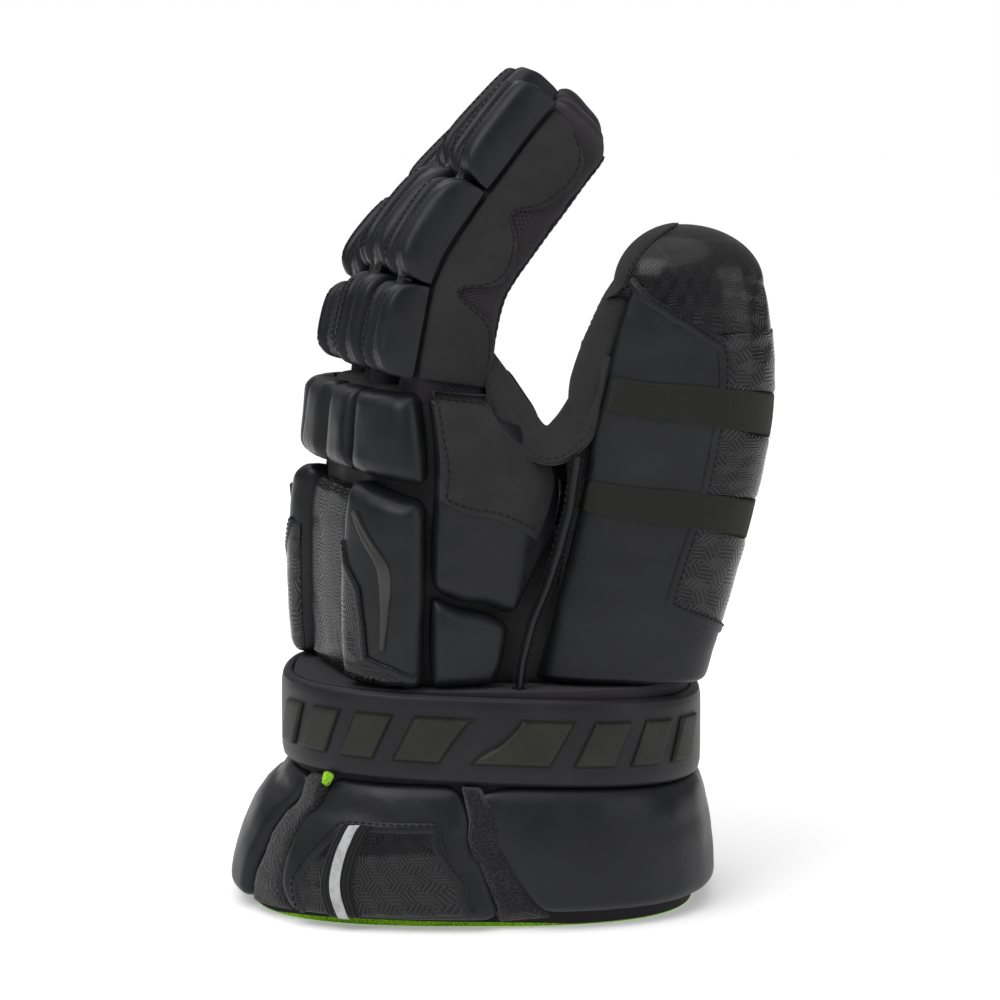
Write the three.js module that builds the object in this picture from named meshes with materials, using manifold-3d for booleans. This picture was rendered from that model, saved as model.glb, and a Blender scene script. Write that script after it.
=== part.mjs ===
// A left-hand lacrosse glove standing on its cuff, in millimetres, +Z towards the fingertips.
// +X points from the back of the hand towards the palm and thumb, and the thumb side faces -Y.
import * as THREE from "three";
import { mergeVertices } from "three/addons/utils/BufferGeometryUtils.js";
import Module from "manifold-3d";

// The main forms: heights along Z, depths from back to palm, widths across the knuckles.
const CUFF_HEIGHT = 91;
const CUFF_DEPTH = 176;
const CUFF_WIDTH = 130;
const HAND_LENGTH = 115;
const HAND_DEPTH = 78;
const HAND_WIDTH = 115;
const THUMB_LENGTH = 172;
const THUMB_DEPTH = 66;
const THUMB_WIDTH = 34;
const THUMB_GAP = 1.5;
const THUMB_INSET = 7.5;
const NOTCH_WIDTH = 45;
const NOTCH_DEPTH = 44;
const FINGER_LENGTH = 101;
const FINGER_PITCH = 29;
const FINGER_WIDTH = 27;
const FINGER_DEPTH = 31;
const ROW_TURN_DEG = 18;

// The skins, pads and trims: a thickness, or what the name says.
const CLEARANCE = 0.35;
const SINK = 2;
const LEATHER = 2;
const SUEDE = 1.6;
const LINING = 3;
const HEEL_FLANGE = 24;
const FINGER_PAD = 16;
const FINGER_PAD_WIDTH = 28.2;
const STRIP = 1.8;
const STRIP_WIDTH = 8;
const KNUCKLE_PAD = 11;
const BACK_PAD = 12;
const CHANNEL_PAD = 6;
const RIB = 2.2;
const SIDE_PAD = 9;
const THUMB_PAD = 9;
const THUMB_CAP = 7;
const THUMB_STRAP = 1.8;
const BINDING = 3;
const CUFF_LOBE = 9;
const CUFF_INSET = 1.4;
const TAPE = 1.6;
const STRIPE = 0.8;
const FLEECE = 5;
const BAND = 4.6;
const BAND_HEIGHT = 34;
const BAND_PLACE = 0.5934066;
const BLOCK = 1.6;
const BLOCK_COUNT = 8;

const rad = (degrees) => (degrees * Math.PI) / 180;
const TO_PALM = new THREE.Vector3(Math.cos(rad(ROW_TURN_DEG)), Math.sin(rad(ROW_TURN_DEG)), 0);
const ALONG_ROW = new THREE.Vector3(-Math.sin(rad(ROW_TURN_DEG)), Math.cos(rad(ROW_TURN_DEG)), 0);
const RIGHT = new THREE.Vector3(1, 0, 0);
const AWAY = new THREE.Vector3(0, 1, 0);
const UP = new THREE.Vector3(0, 0, 1);

const circle = (count) => Array.from({ length: count }, (_, k) => (360 * k) / count);
const ramp = (from, to, count) => Array.from({ length: count }, (_, k) => from + ((to - from) * k) / (count - 1));

// One smooth row of a table, at a place between two of its rows.
function rowAt(rows, place) {
  const last = rows.length - 1;
  const i = Math.min(Math.max(Math.floor(place), 0), last - 1);
  const f = place - i;
  return rows[0].map((_, k) => {
    const b = rows[i][k];
    const c = rows[i + 1][k];
    const a = i > 0 ? rows[i - 1][k] : 2 * b - c;
    const d = i + 2 <= last ? rows[i + 2][k] : 2 * c - b;
    return b + 0.5 * f * (c - a + f * (2 * a - 5 * b + 4 * c - d + f * (3 * (b - c) + d - a)));
  });
}

// Where, counted in rows, the first column of a table reaches a value.
function placeOf(rows, value) {
  let [low, high] = [0, rows.length - 1];
  for (let step = 0; step < 40; step++) {
    const middle = (low + high) / 2;
    if (rowAt(rows, middle)[0] < value) low = middle;
    else high = middle;
  }
  return (low + high) / 2;
}

// A guide surface: a rounded-square section carried up a hand, thumb, cuff or finger. A place is
// the share of its length, and an angle is 0 at the palm, 90 at the far side, 180 at the back of
// the hand and 270 at the thumb side.
class Tube {
  at(place, degrees, offset = 0) {
    const point = this.surface(place, degrees);
    if (!offset) return point;
    const step = 0.002;
    const around = this.surface(place, degrees + 1).sub(this.surface(place, degrees - 1));
    const along = this.surface(place + step, degrees).sub(this.surface(place - step, degrees));
    return point.addScaledVector(around.cross(along).normalize(), offset);
  }

  // A point of a rounded-square section, from its half depth, half width and squareness.
  oval(centre, toPalm, toFar, [depth, width, squareness], degrees) {
    const power = 2 / squareness;
    const c = Math.cos(rad(degrees));
    const s = Math.sin(rad(degrees));
    return centre
      .addScaledVector(toPalm, depth * Math.sign(c) * Math.abs(c) ** power)
      .addScaledVector(toFar, width * Math.sign(s) * Math.abs(s) ** power);
  }

  // The share of the length that a distance takes at the upper end.
  shareOf(distance) {
    const step = 0.01;
    return (distance * step) / this.surface(1, 0).distanceTo(this.surface(1 - step, 0));
  }
}

// Level sections. Rows: share of the height; centre to the palm, as a share of the depth; centre to
// the far side, as a share of the width; half depth and half width, as shares; squareness.
class LevelTube extends Tube {
  constructor({ foot, height, depth, width, toPalm, toFar }, rows) {
    super();
    Object.assign(this, { foot, height, depth, width, toPalm, toFar, rows });
  }

  surface(place, degrees) {
    const [, x, y, halfDepth, halfWidth, squareness] = rowAt(this.rows, placeOf(this.rows, place));
    const centre = this.foot.clone().addScaledVector(UP, place * this.height);
    centre.x += x * this.depth;
    centre.y += y * this.width;
    const sizes = [halfDepth * this.depth, halfWidth * this.width, squareness];
    return this.oval(centre, this.toPalm, this.toFar, sizes, degrees);
  }
}

// Sections across a curled finger. Rows: reach to the palm and height above the knuckle line, as
// shares of the finger's length; half depth and half width, as shares of the finger's sizes.
class FingerTube extends Tube {
  constructor({ base, length, depth, width, squareness }, rows) {
    super();
    Object.assign(this, { base, length, depth, width, squareness, rows });
  }

  frame(place) {
    const t = place * (this.rows.length - 1);
    const [reach, height, halfDepth, halfWidth] = rowAt(this.rows, t);
    const [ahead, behind] = [rowAt(this.rows, t + 0.01), rowAt(this.rows, t - 0.01)];
    const along = new THREE.Vector3()
      .addScaledVector(TO_PALM, ahead[0] - behind[0])
      .addScaledVector(UP, ahead[1] - behind[1])
      .normalize();
    const centre = this.base
      .clone()
      .addScaledVector(TO_PALM, reach * this.length)
      .addScaledVector(UP, height * this.length);
    const sizes = [halfDepth * this.depth, halfWidth * this.width, this.squareness];
    return { centre, along, toPalm: ALONG_ROW.clone().cross(along), sizes };
  }

  surface(place, degrees) {
    const { centre, toPalm, sizes } = this.frame(place);
    return this.oval(centre, toPalm, ALONG_ROW, sizes, degrees);
  }

  // The angle at which the thumb side of a section has gone a share of the way to the palm.
  angleOnSide(share) {
    const cosine = Math.sign(share) * Math.abs(share) ** (this.squareness / 2);
    return 360 - (Math.acos(cosine) * 180) / Math.PI;
  }
}

// The geometry of a closed mesh, with its faces turned outwards.
function facingOut(points, faces) {
  const volume = faces.reduce(
    (sum, [a, b, c]) => sum + points[a].dot(points[b].clone().cross(points[c])),
    0,
  );
  const order = volume < 0 ? faces.map(([a, b, c]) => [a, c, b]) : faces;
  const position = new Float32Array(order.flat().flatMap((i) => points[i].toArray()));
  const made = new THREE.BufferGeometry();
  made.setAttribute("position", new THREE.BufferAttribute(position, 3));
  return made;
}

const middleOf = (points) => points.reduce((sum, p) => sum.add(p), new THREE.Vector3()).divideScalar(points.length);

// A closed mesh through rings of points; its ends are capped, or joined to each other.
function skin(rings, joined = false) {
  const count = rings[0].length;
  const points = rings.flat();
  const faces = [];
  const last = joined ? rings.length : rings.length - 1;
  for (let i = 0; i < last; i++) {
    const [a, b] = [i * count, ((i + 1) % rings.length) * count];
    for (let j = 0; j < count; j++) {
      const k = (j + 1) % count;
      faces.push([a + j, a + k, b + k], [a + j, b + k, b + j]);
    }
  }
  if (!joined) {
    const end = points.length - count;
    const [lowHub, highHub] = [points.push(middleOf(rings[0])) - 1, points.push(middleOf(rings.at(-1))) - 1];
    for (let j = 0; j < count; j++) {
      const k = (j + 1) % count;
      faces.push([lowHub, k, j], [highHub, end + j, end + k]);
    }
  }
  return facingOut(points, faces);
}

// A ring of a guide surface.
const ringOf = (tube, place, offset, count) => circle(count).map((angle) => tube.at(place, angle, offset));

// A solid that fills a guide surface between its first and last place.
function filled(tube, places, offset, count) {
  return skin(places.map((place) => ringOf(tube, place, offset, count)));
}

// A filled guide surface grown by the clearance all round, which cuts what lies on it.
function grown(tube, places, count) {
  const step = tube.shareOf(CLEARANCE);
  return filled(tube, [places[0] - step, ...places.slice(1, -1), places.at(-1) + step], CLEARANCE, count);
}

// A stall: a sleeve that is open at its base and closed at its tip.
function stall(tube, places, wall, count) {
  const tip = places.at(-1) - tube.shareOf(wall);
  const outside = places.map((place) => ringOf(tube, place, 0, count)).reverse();
  const inside = [...places.slice(0, -1), tip].map((place) => ringOf(tube, place, -wall, count));
  return skin([...outside, ...inside]);
}

// Manifold solids, only for joining and cutting.
const wasm = await Module();
wasm.setup();

function solid(geometry) {
  const merged = mergeVertices(geometry, 1e-4);
  const triVerts = new Uint32Array(merged.index.array);
  const vertProperties = merged.attributes.position.array;
  return new wasm.Manifold(new wasm.Mesh({ numProp: 3, vertProperties, triVerts }));
}

function geometryOf(body) {
  const { vertProperties, triVerts, numProp } = body.getMesh();
  const position = new Float32Array(triVerts.length * 3);
  triVerts.forEach((v, i) => position.set(vertProperties.subarray(v * numProp, v * numProp + 3), i * 3));
  const made = new THREE.BufferGeometry();
  made.setAttribute("position", new THREE.BufferAttribute(position, 3));
  return made;
}

// Cuts bodies away and keeps the largest piece, without the crumbs that a cut can leave.
function cut(geometry, ...cutters) {
  const left = cutters.reduce((body, cutter) => body.subtract(solid(cutter)), solid(geometry));
  return geometryOf(left.decompose().sort((a, b) => b.volume() - a.volume())[0]);
}

function join(geometry, ...others) {
  return geometryOf(others.reduce((whole, other) => whole.add(solid(other)), solid(geometry)));
}

// How far a pad has risen, 0 to 1, at a share of the way across it: round shoulders, flat middle.
function shoulder(share, soft) {
  const edge = Math.min(share, 1 - share) / soft;
  return edge >= 1 ? 1 : Math.sqrt(1 - (1 - edge) ** 2);
}

// Where a pad's sections lie, as shares of the way across or along it.
const SPREAD = [0, 0.08, 0.3, 0.7, 0.92, 1];
const LONG_SPREAD = [0, 0.05, 0.2, 0.5, 0.8, 0.95, 1];

// A pad, panel or strip that lies on a guide surface. Each row of its outline, from bottom to top,
// holds the angle and place of its left end, and the angle and place of its right end. A seat is
// the body that it lies on: the pad reaches into it and is cut to its faces.
function patch(tube, outline, options) {
  const { lift = CLEARANCE, thick, rim = 0.45, soft = 0.2, spread = SPREAD, steps = SPREAD, turn, seat } = options;
  const rows = steps.map((b) => {
    const [leftAngle, leftPlace, rightAngle, rightPlace] = rowAt(outline, b * (outline.length - 1));
    return spread.map((a) => {
      const angle = leftAngle + (rightAngle - leftAngle) * a;
      const place = leftPlace + (rightPlace - leftPlace) * a;
      const degrees = turn ? turn(angle) : angle;
      const rise = rim + (1 - rim) * Math.min(shoulder(a, soft), shoulder(b, soft));
      const full = typeof thick === "function" ? thick(b) : thick;
      return [tube.at(place, degrees, seat ? -SINK : lift), tube.at(place, degrees, lift + full * rise)];
    });
  });
  const [across, along] = [spread.length, steps.length];
  const border = [
    ...Array.from({ length: across - 1 }, (_, j) => j),
    ...Array.from({ length: along - 1 }, (_, i) => i * across + across - 1),
    ...Array.from({ length: across - 1 }, (_, j) => along * across - 1 - j),
    ...Array.from({ length: along - 1 }, (_, i) => (along - 1 - i) * across),
  ];
  const top = rows.flat().map(([, high]) => high);
  const under = rows.flat().map(([low]) => low);
  const closed = () => [...border.map((n) => under[n]), middleOf(under.map((p) => p.clone()))];
  const points = [...top, ...(seat ? closed() : under)];
  const below = (k) => top.length + (seat ? k : border[k]);
  const faces = [];
  for (let i = 0; i + 1 < along; i++) {
    for (let j = 0; j + 1 < across; j++) {
      const [a, b, c, d] = [i * across + j, i * across + j + 1, (i + 1) * across + j + 1, (i + 1) * across + j];
      faces.push([a, b, c], [a, c, d]);
      if (!seat) faces.push(...[[a, c, b], [a, d, c]].map((face) => face.map((n) => n + top.length)));
    }
  }
  border.forEach((a, k) => {
    const next = (k + 1) % border.length;
    faces.push([below(k), below(next), border[next]], [below(k), border[next], a]);
    if (seat) faces.push([below(next), below(k), points.length - 1]);
  });
  const made = facingOut(points, faces);
  return seat ? cut(made, seat) : made;
}

// The room that a patch takes, with a clearance round it: an angle and a share of the length.
const ROOM_TURN_DEG = 1;
const ROOM_RISE = 0.006;

function room(tube, outline, thick) {
  const wider = outline.map(([a, low, b, high]) => [a - ROOM_TURN_DEG, low, b + ROOM_TURN_DEG, high]);
  wider[0] = wider[0].map((value, k) => (k % 2 ? value - ROOM_RISE : value));
  wider[wider.length - 1] = wider.at(-1).map((value, k) => (k % 2 ? value + ROOM_RISE : value));
  return patch(tube, wider, { thick: SINK + thick + 3 * CLEARANCE, lift: -SINK, rim: 1 });
}

// The same outline on the other side of the hand.
const mirrored = (outline) => outline.map(([a, low, b, high]) => [360 - b, high, 360 - a, low]);

// The palm and back of the hand.
const hand = new LevelTube(
  {
    foot: new THREE.Vector3(0, 0, CUFF_HEIGHT),
    height: HAND_LENGTH,
    depth: HAND_DEPTH,
    width: HAND_WIDTH,
    toPalm: TO_PALM,
    toFar: ALONG_ROW,
  },
  [
    [0, -0.391, -0.009, 0.449, 0.487, 3.2],
    [0.252, -0.378, -0.009, 0.48, 0.496, 3.2],
    [0.513, -0.353, -0.009, 0.5, 0.5, 3.2],
    [0.704, -0.353, -0.013, 0.465, 0.5, 3.2],
    [0.861, -0.417, -0.017, 0.365, 0.5, 3.0],
    [1, -0.487, -0.017, 0.269, 0.5, 3.0],
  ],
);
const HAND_PLACES = [CLEARANCE / HAND_LENGTH, 0.4, 0.65, 0.85, 1];
const HAND_SIDES = 20;

// The heel of the palm, which carries the palm side of the hand out over the cuff.
const heel = new LevelTube(
  {
    foot: new THREE.Vector3(0, 0, CUFF_HEIGHT),
    height: HAND_LENGTH,
    depth: HAND_DEPTH,
    width: HAND_WIDTH,
    toPalm: TO_PALM,
    toFar: ALONG_ROW,
  },
  [
    [0, 0.15, 0, 0.56, 0.42, 2.6],
    [0.2, 0.07, 0, 0.5, 0.41, 2.6],
    [0.42, -0.05, 0, 0.38, 0.4, 2.6],
    [0.64, -0.19, 0, 0.27, 0.36, 2.6],
  ],
);
const HEEL_SIDES = 14;
const HEEL_PLACES = [CLEARANCE / HAND_LENGTH, 0.2, 0.42, 0.64];

// The thumb, which stands beside the palm with its near face set back from the hand's. Where the
// hand ends towards the palm is a share of its depth.
const HAND_EDGE = 0.109;
const THUMB_X = HAND_EDGE * HAND_DEPTH + THUMB_DEPTH / 2 + THUMB_GAP;
const THUMB_Y = (THUMB_WIDTH - HAND_WIDTH) / 2 + THUMB_INSET;
const thumb = new LevelTube(
  {
    foot: new THREE.Vector3(THUMB_X, THUMB_Y, CUFF_HEIGHT),
    height: THUMB_LENGTH,
    depth: THUMB_DEPTH,
    width: THUMB_WIDTH,
    toPalm: RIGHT,
    toFar: AWAY,
  },
  [
    [0, 0, 0, 0.409, 0.5, 2.8],
    [0.168, 0.1, -0.03, 0.44, 0.5, 2.8],
    [0.399, 0.245, -0.06, 0.455, 0.5, 2.8],
    [0.63, 0.333, -0.118, 0.475, 0.5, 2.8],
    [0.832, 0.38, -0.147, 0.4, 0.47, 2.6],
    [0.942, 0.43, -0.176, 0.27, 0.382, 2.4],
    [1, 0.455, -0.206, 0.136, 0.206, 2.2],
  ],
);
const THUMB_PLACES = [CLEARANCE / THUMB_LENGTH, 0.2, 0.42, 0.63, 0.81, 0.92, 0.985];
const THUMB_SIDES = 16;

// The cuff's lining.
const cuff = new LevelTube(
  {
    foot: new THREE.Vector3(0, 0, 0),
    height: CUFF_HEIGHT,
    depth: CUFF_DEPTH,
    width: CUFF_WIDTH,
    toPalm: RIGHT,
    toFar: AWAY,
  },
  [
    [0, -0.0625, -0.008, 0.5, 0.5, 2.8],
    [0.154, -0.06, -0.008, 0.494, 0.504, 2.8],
    [0.374, -0.043, -0.008, 0.466, 0.508, 2.8],
    [0.53, -0.02, -0.008, 0.447, 0.512, 2.8],
    [1, -0.02, -0.008, 0.447, 0.512, 2.8],
  ],
);
const CUFF_PLACES = [0, 0.2, 0.53, 1 - LINING / CUFF_HEIGHT];
const CUFF_SIDES = 20;

// The curl that the fingers share, and what sets each finger apart: its seat in the row, counted
// in pitches; how far it stands back, as a share of its depth; its length and its reach, as shares.
const CURL = [
  [0.01, -0.07, 0.5, 0.5],
  [0.048, 0.154, 0.5, 0.5],
  [0.096, 0.365, 0.5, 0.5],
  [0.163, 0.49, 0.5, 0.5],
  [0.31, 0.683, 0.5, 0.5],
  [0.453, 0.865, 0.5, 0.5],
  [0.535, 0.96, 0.48, 0.47],
  [0.575, 1.005, 0.35, 0.33],
];
const FINGERS = [
  { name: "index", seat: -1.5, arch: 0, share: 1, curl: 1 },
  { name: "middle", seat: -0.5, arch: 0.13, share: 1.035, curl: 1.25 },
  { name: "ring", seat: 0.5, arch: -0.07, share: 0.97, curl: 1.25 },
  { name: "pinky", seat: 1.5, arch: -0.15, share: 0.82, curl: 1.05 },
];
const FINGER_SQUARENESS = 3.6;
const FINGER_PLACES = [0, 0.22, 0.45, 0.7, 0.9, 1];
const FINGER_SIDES = 12;

const knuckles = middleOf([hand.surface(1, 90), hand.surface(1, 270)]);

function fingerTube({ seat, arch, share, curl }) {
  const base = knuckles
    .clone()
    .addScaledVector(ALONG_ROW, seat * FINGER_PITCH)
    .addScaledVector(TO_PALM, -arch * FINGER_DEPTH);
  const section = { depth: FINGER_DEPTH, width: FINGER_WIDTH, squareness: FINGER_SQUARENESS };
  const sizes = { base, length: FINGER_LENGTH, ...section };
  const rows = CURL.map(([reach, height, ...halves]) => [reach * curl, height > 0 ? height * share : height, ...halves]);
  return new FingerTube(sizes, rows);
}

const fingers = FINGERS.map((finger) => ({ ...finger, tube: fingerTube(finger) }));

// The bodies that pads lie on.
const handBody = grown(hand, HAND_PLACES, HAND_SIDES);
const heelBody = grown(heel, HEEL_PLACES, HEEL_SIDES);
const thumbBody = grown(thumb, THUMB_PLACES, THUMB_SIDES);
const cuffBody = grown(cuff, [...CUFF_PLACES.slice(0, -1), 1], CUFF_SIDES);
const fingerBody = (tube) => grown(tube, FINGER_PLACES, FINGER_SIDES);

// Materials, from the photograph.
const finish = (color, roughness, metalness = 0) =>
  new THREE.MeshStandardMaterial({ color, roughness, metalness });
const paints = {
  leather: finish(0x1d1e22, 0.55),
  embossed: finish(0x15161a, 0.38),
  suede: finish(0x333333, 0.95),
  knit: finish(0x1a191d, 0.9),
  webbing: finish(0x232421, 0.85),
  rubber: finish(0x232327, 0.5),
  trim: finish(0x2a2a26, 0.45),
  fleece: finish(0x121114, 1),
  lining: finish(0x6fa31a, 0.9),
  tape: finish(0x0d0d0f, 0.8),
  reflective: finish(0x9a9b9e, 0.45),
};

const glove = new THREE.Group();

function add(name, geometry, paint) {
  const mesh = new THREE.Mesh(geometry, paints[paint]);
  mesh.name = name;
  glove.add(mesh);
}

// The sleeve of lining that the wrist goes through. Its top turns inwards and carries the hand.
function cuffLining() {
  const shoulderPlace = CUFF_PLACES.at(-1);
  const level = (place, offset) => ringOf(cuff, place, offset, CUFF_SIDES).map((p) => p.setZ(place * CUFF_HEIGHT));
  const outside = CUFF_PLACES.map((place) => level(place, 0));
  const inside = CUFF_PLACES.map((place) => level(place, -LINING));
  const flange = [level(1, -LINING), level(1, -HEEL_FLANGE), level(shoulderPlace, -HEEL_FLANGE)];
  add("cuff_lining", skin([...outside, ...flange, ...inside.reverse()], true), "lining");
}

// The leather skin of the hand, closed at the knuckles but for a hole into each finger.
const FINGER_HOLE = [0, 0.1];

function palmShell() {
  const leather = LEATHER / HAND_LENGTH;
  const outside = join(filled(hand, HAND_PLACES, 0, HAND_SIDES), filled(heel, HEEL_PLACES, 0, HEEL_SIDES));
  const insideHand = filled(hand, [-leather, ...HAND_PLACES.slice(1, -1), 1 - leather], -LEATHER, HAND_SIDES);
  const insideHeel = filled(heel, [-leather, ...HEEL_PLACES.slice(1)], -LEATHER, HEEL_SIDES);
  const lowPlaces = [-LEATHER / THUMB_LENGTH, ...THUMB_PLACES.slice(1, 4)];
  const insideThumb = filled(thumb, lowPlaces, -LEATHER, THUMB_SIDES);
  const holes = fingers.map(({ tube }) => filled(tube, FINGER_HOLE, -LEATHER, FINGER_SIDES));
  add("palm_shell", cut(outside, insideHand, insideHeel, insideThumb, ...holes), "suede");
}

function thumbStall() {
  add("thumb_stall", cut(stall(thumb, THUMB_PLACES, LEATHER, THUMB_SIDES), handBody, heelBody), "suede");
}

function fingerStalls() {
  fingers.forEach(({ name, tube }) => {
    add(`${name}_stall`, cut(stall(tube, FINGER_PLACES, LEATHER, FINGER_SIDES), handBody), "knit");
  });
}

// A finger's back pads, from rows of the place where each starts and ends.
const FINGER_PADS = [
  ["proximal", 0.056, 0.266],
  ["middle", 0.275, 0.539],
  ["distal", 0.549, 0.89],
];
// The pad's section, from one side to the other: share of its half width, share of its thickness.
const PAD_PROFILE = [
  [-1, 0],
  [-1, 0.6],
  [-0.84, 0.92],
  [-0.5, 1],
  [-0.32, 0.72],
  [0.32, 0.72],
  [0.5, 1],
  [0.84, 0.92],
  [1, 0.6],
  [1, 0],
];
const GROOVE = 0.72;
// How a pad closes at its ends: share of its length, of its width, of its thickness.
const PAD_ENDS = [
  [0, 0.9, 0.6],
  [0.08, 0.97, 0.86],
  [0.3, 1, 1],
  [0.7, 1, 1],
  [0.92, 0.97, 0.86],
  [1, 0.9, 0.62],
];

// A point over the back of a finger, some way across and some way above its stall.
function overBack(tube, place, across, height) {
  const { centre, toPalm, sizes } = tube.frame(place);
  return centre.addScaledVector(toPalm, -sizes[0] - height).addScaledVector(ALONG_ROW, across);
}

function fingerPads() {
  fingers.forEach(({ name, tube }) => {
    FINGER_PADS.forEach(([segment, from, to]) => {
      const rings = PAD_ENDS.map(([share, width, height]) =>
        PAD_PROFILE.map(([across, rise]) => {
          const place = from + (to - from) * share;
          return overBack(tube, place, (across * width * FINGER_PAD_WIDTH) / 2, CLEARANCE + rise * height * FINGER_PAD);
        }),
      );
      add(`${name}_${segment}_pad`, skin(rings), "leather");
    });
  });
}

// The embossed strip in the groove along a finger's back pads.
function fingerStrips() {
  const floor = GROOVE * FINGER_PAD + 2 * CLEARANCE;
  const section = [
    [-1, 0],
    [-1, 1],
    [1, 1],
    [1, 0],
  ];
  const shares = [0, 0.3, 0.7, 1];
  const seams = FINGER_PADS.flatMap(([, from, to]) => shares.map((share) => from + (to - from) * share));
  const places = seams.slice(1, -1);
  fingers.forEach(({ name, tube }) => {
    const rings = places.map((place) =>
      section.map(([across, rise]) => overBack(tube, place, (across * STRIP_WIDTH) / 2, floor + rise * STRIP)),
    );
    add(`${name}_back_strip`, skin(rings), "embossed");
  });
}

// The suede panel on the open side of the index and the little finger. Rows: place along the
// finger; how far to the palm the panel starts and ends, as shares of the half depth.
const SIDE_PANEL = [
  [0.06, -0.82, 0.86],
  [0.137, -0.82, 0.94],
  [0.214, -0.82, 0.7],
  [0.274, -0.82, -0.3],
  [0.334, -0.82, 0.4],
  [0.43, -0.82, 0.68],
  [0.497, -0.82, 0.4],
  [0.54, -0.82, -0.15],
  [0.6, -0.82, 0.4],
  [0.686, -0.82, 0.66],
  [0.771, -0.82, 0.4],
  [0.84, -0.82, -0.35],
];

function sidePanels() {
  const outline = SIDE_PANEL.map(([place, from, to]) => [from, place, to, place]);
  [0, 3].forEach((number) => {
    const { name, tube } = fingers[number];
    const turn = (share) => (number ? 360 - tube.angleOnSide(share) : tube.angleOnSide(share));
    const steps = ramp(0, 1, 12);
    const shape = { thick: SUEDE, rim: 1, steps, spread: ramp(0, 1, 3), turn, seat: fingerBody(tube) };
    add(`${name}_side_panel`, patch(tube, outline, shape), "suede");
  });
}

// Pads on the back of the hand. Rows: name, angle where it starts, angle where it ends, and how
// low each of its two sides goes.
const KNUCKLES = [
  ["index", 203, 251, 0.713, 0.687],
  ["middle", 181, 202, 0.713, 0.713],
  ["ring", 159, 180, 0.713, 0.713],
  ["pinky", 110, 158, 0.687, 0.713],
];
const PAD_TOP = 0.991;

function knucklePads() {
  KNUCKLES.forEach(([name, from, to, lowFrom, lowTo]) => {
    const outline = [
      [from, lowFrom, to, lowTo],
      [from, PAD_TOP, to, PAD_TOP],
    ];
    const shape = { thick: KNUCKLE_PAD, soft: 0.24, seat: handBody };
    add(`${name}_knuckle_pad`, patch(hand, outline, shape), "leather");
  });
}

// The long pads on the back of the hand and the low insert between them.
const RADIAL_BACK = [
  [204, 0.013, 252, 0.013],
  [204, 0.34, 253, 0.322],
  [204, 0.696, 251, 0.635],
];
const CHANNEL = [
  [169.5, 0.013, 202.5, 0.013],
  [169.5, 0.66, 202.5, 0.66],
];
const ULNAR_BACK = [
  [108, 0.013, 168, 0.013],
  [107, 0.322, 168, 0.34],
  [110, 0.62, 168, 0.696],
];

function backPads() {
  const shape = { thick: BACK_PAD, soft: 0.18, seat: handBody };
  add("back_pad_radial", patch(hand, RADIAL_BACK, shape), "leather");
  add("back_pad_ulnar", patch(hand, ULNAR_BACK, { ...shape, spread: LONG_SPREAD }), "leather");
  add("back_channel", patch(hand, CHANNEL, { thick: CHANNEL_PAD, soft: 0.3, seat: handBody }), "embossed");
}

// The raised tapered rib on each back pad.
const RIB_OUTLINE = [
  [234, 0.148, 236, 0.148],
  [234, 0.287, 238, 0.287],
  [231.5, 0.417, 237.5, 0.417],
  [223, 0.51, 227, 0.518],
  [216, 0.59, 218, 0.594],
];

function backRibs() {
  const lift = BACK_PAD + 2 * CLEARANCE;
  const shape = { thick: RIB, lift, rim: 0.6, soft: 0.5, spread: ramp(0, 1, 3), steps: ramp(0, 1, 9) };
  add("back_rib_radial", patch(hand, RIB_OUTLINE, shape), "trim");
  add("back_rib_ulnar", patch(hand, mirrored(RIB_OUTLINE), shape), "trim");
}

// Pads on the thumb side of the hand and on the little finger's side.
const SIDE_UPPER = [
  [256, 0.348, 283, 0.243],
  [255, 0.513, 293, 0.391],
  [255, 0.687, 308, 0.565],
  [256, 0.843, 316, 0.704],
  [258, 0.974, 300, 0.826],
];
const SIDE_LOWER = [
  [257, 0.013, 276, 0.013],
  [256, 0.165, 280, 0.096],
  [256, 0.326, 282, 0.217],
];

const ULNAR_UPPER = [
  [76, 0.3, 104, 0.34],
  [73, 0.52, 105, 0.52],
  [72, 0.72, 105, 0.73],
  [78, 0.92, 103, 0.945],
];
const ULNAR_LOWER = [
  [80, 0.013, 104, 0.013],
  [77, 0.14, 104, 0.16],
  [76, 0.275, 104, 0.315],
];

function sidePads() {
  const shape = { thick: SIDE_PAD, soft: 0.24, seat: handBody };
  add("radial_upper_pad", patch(hand, SIDE_UPPER, shape), "leather");
  add("radial_lower_pad", patch(hand, SIDE_LOWER, shape), "leather");
  add("ulnar_upper_pad", patch(hand, ULNAR_UPPER, shape), "leather");
  add("ulnar_lower_pad", patch(hand, ULNAR_LOWER, shape), "leather");
}

// The suede patch over the upper side pad, at the root of the index finger.
const WEB_PATCH = [
  [265, 0.635, 304, 0.47],
  [264.5, 0.757, 312, 0.6],
  [264, 0.88, 310, 0.72],
  [264, 0.985, 292, 0.86],
];

function webPatch() {
  const lift = SIDE_PAD + 2 * CLEARANCE;
  const shape = { thick: SUEDE, lift, rim: 1, steps: ramp(0, 1, 5), spread: ramp(0, 1, 5) };
  add("web_patch", patch(hand, WEB_PATCH, shape), "suede");
}

// The web between the index finger and the thumb, and the palm skin below it. Each row is one
// place along the notch, in shares of its width and depth: across and up at its near edge, across
// and up at its ridge, and up at its hidden foot.
const WEB_NOTCH = [
  [0, 1, 0.04, 1, 0.45],
  [0.02, 0.52, 0.18, 0.68, -0.18],
  [0.13, 0.18, 0.33, 0.45, -0.91],
  [0.36, 0, 0.48, 0.24, -1.41],
  [0.62, -0.04, 0.59, 0.29, -1.55],
  [0.87, 0.16, 0.72, 0.47, -1.41],
  [0.96, 0.43, 0.77, 0.61, -0.91],
  [1, 0.77, 0.79, 0.91, -0.23],
];
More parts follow.
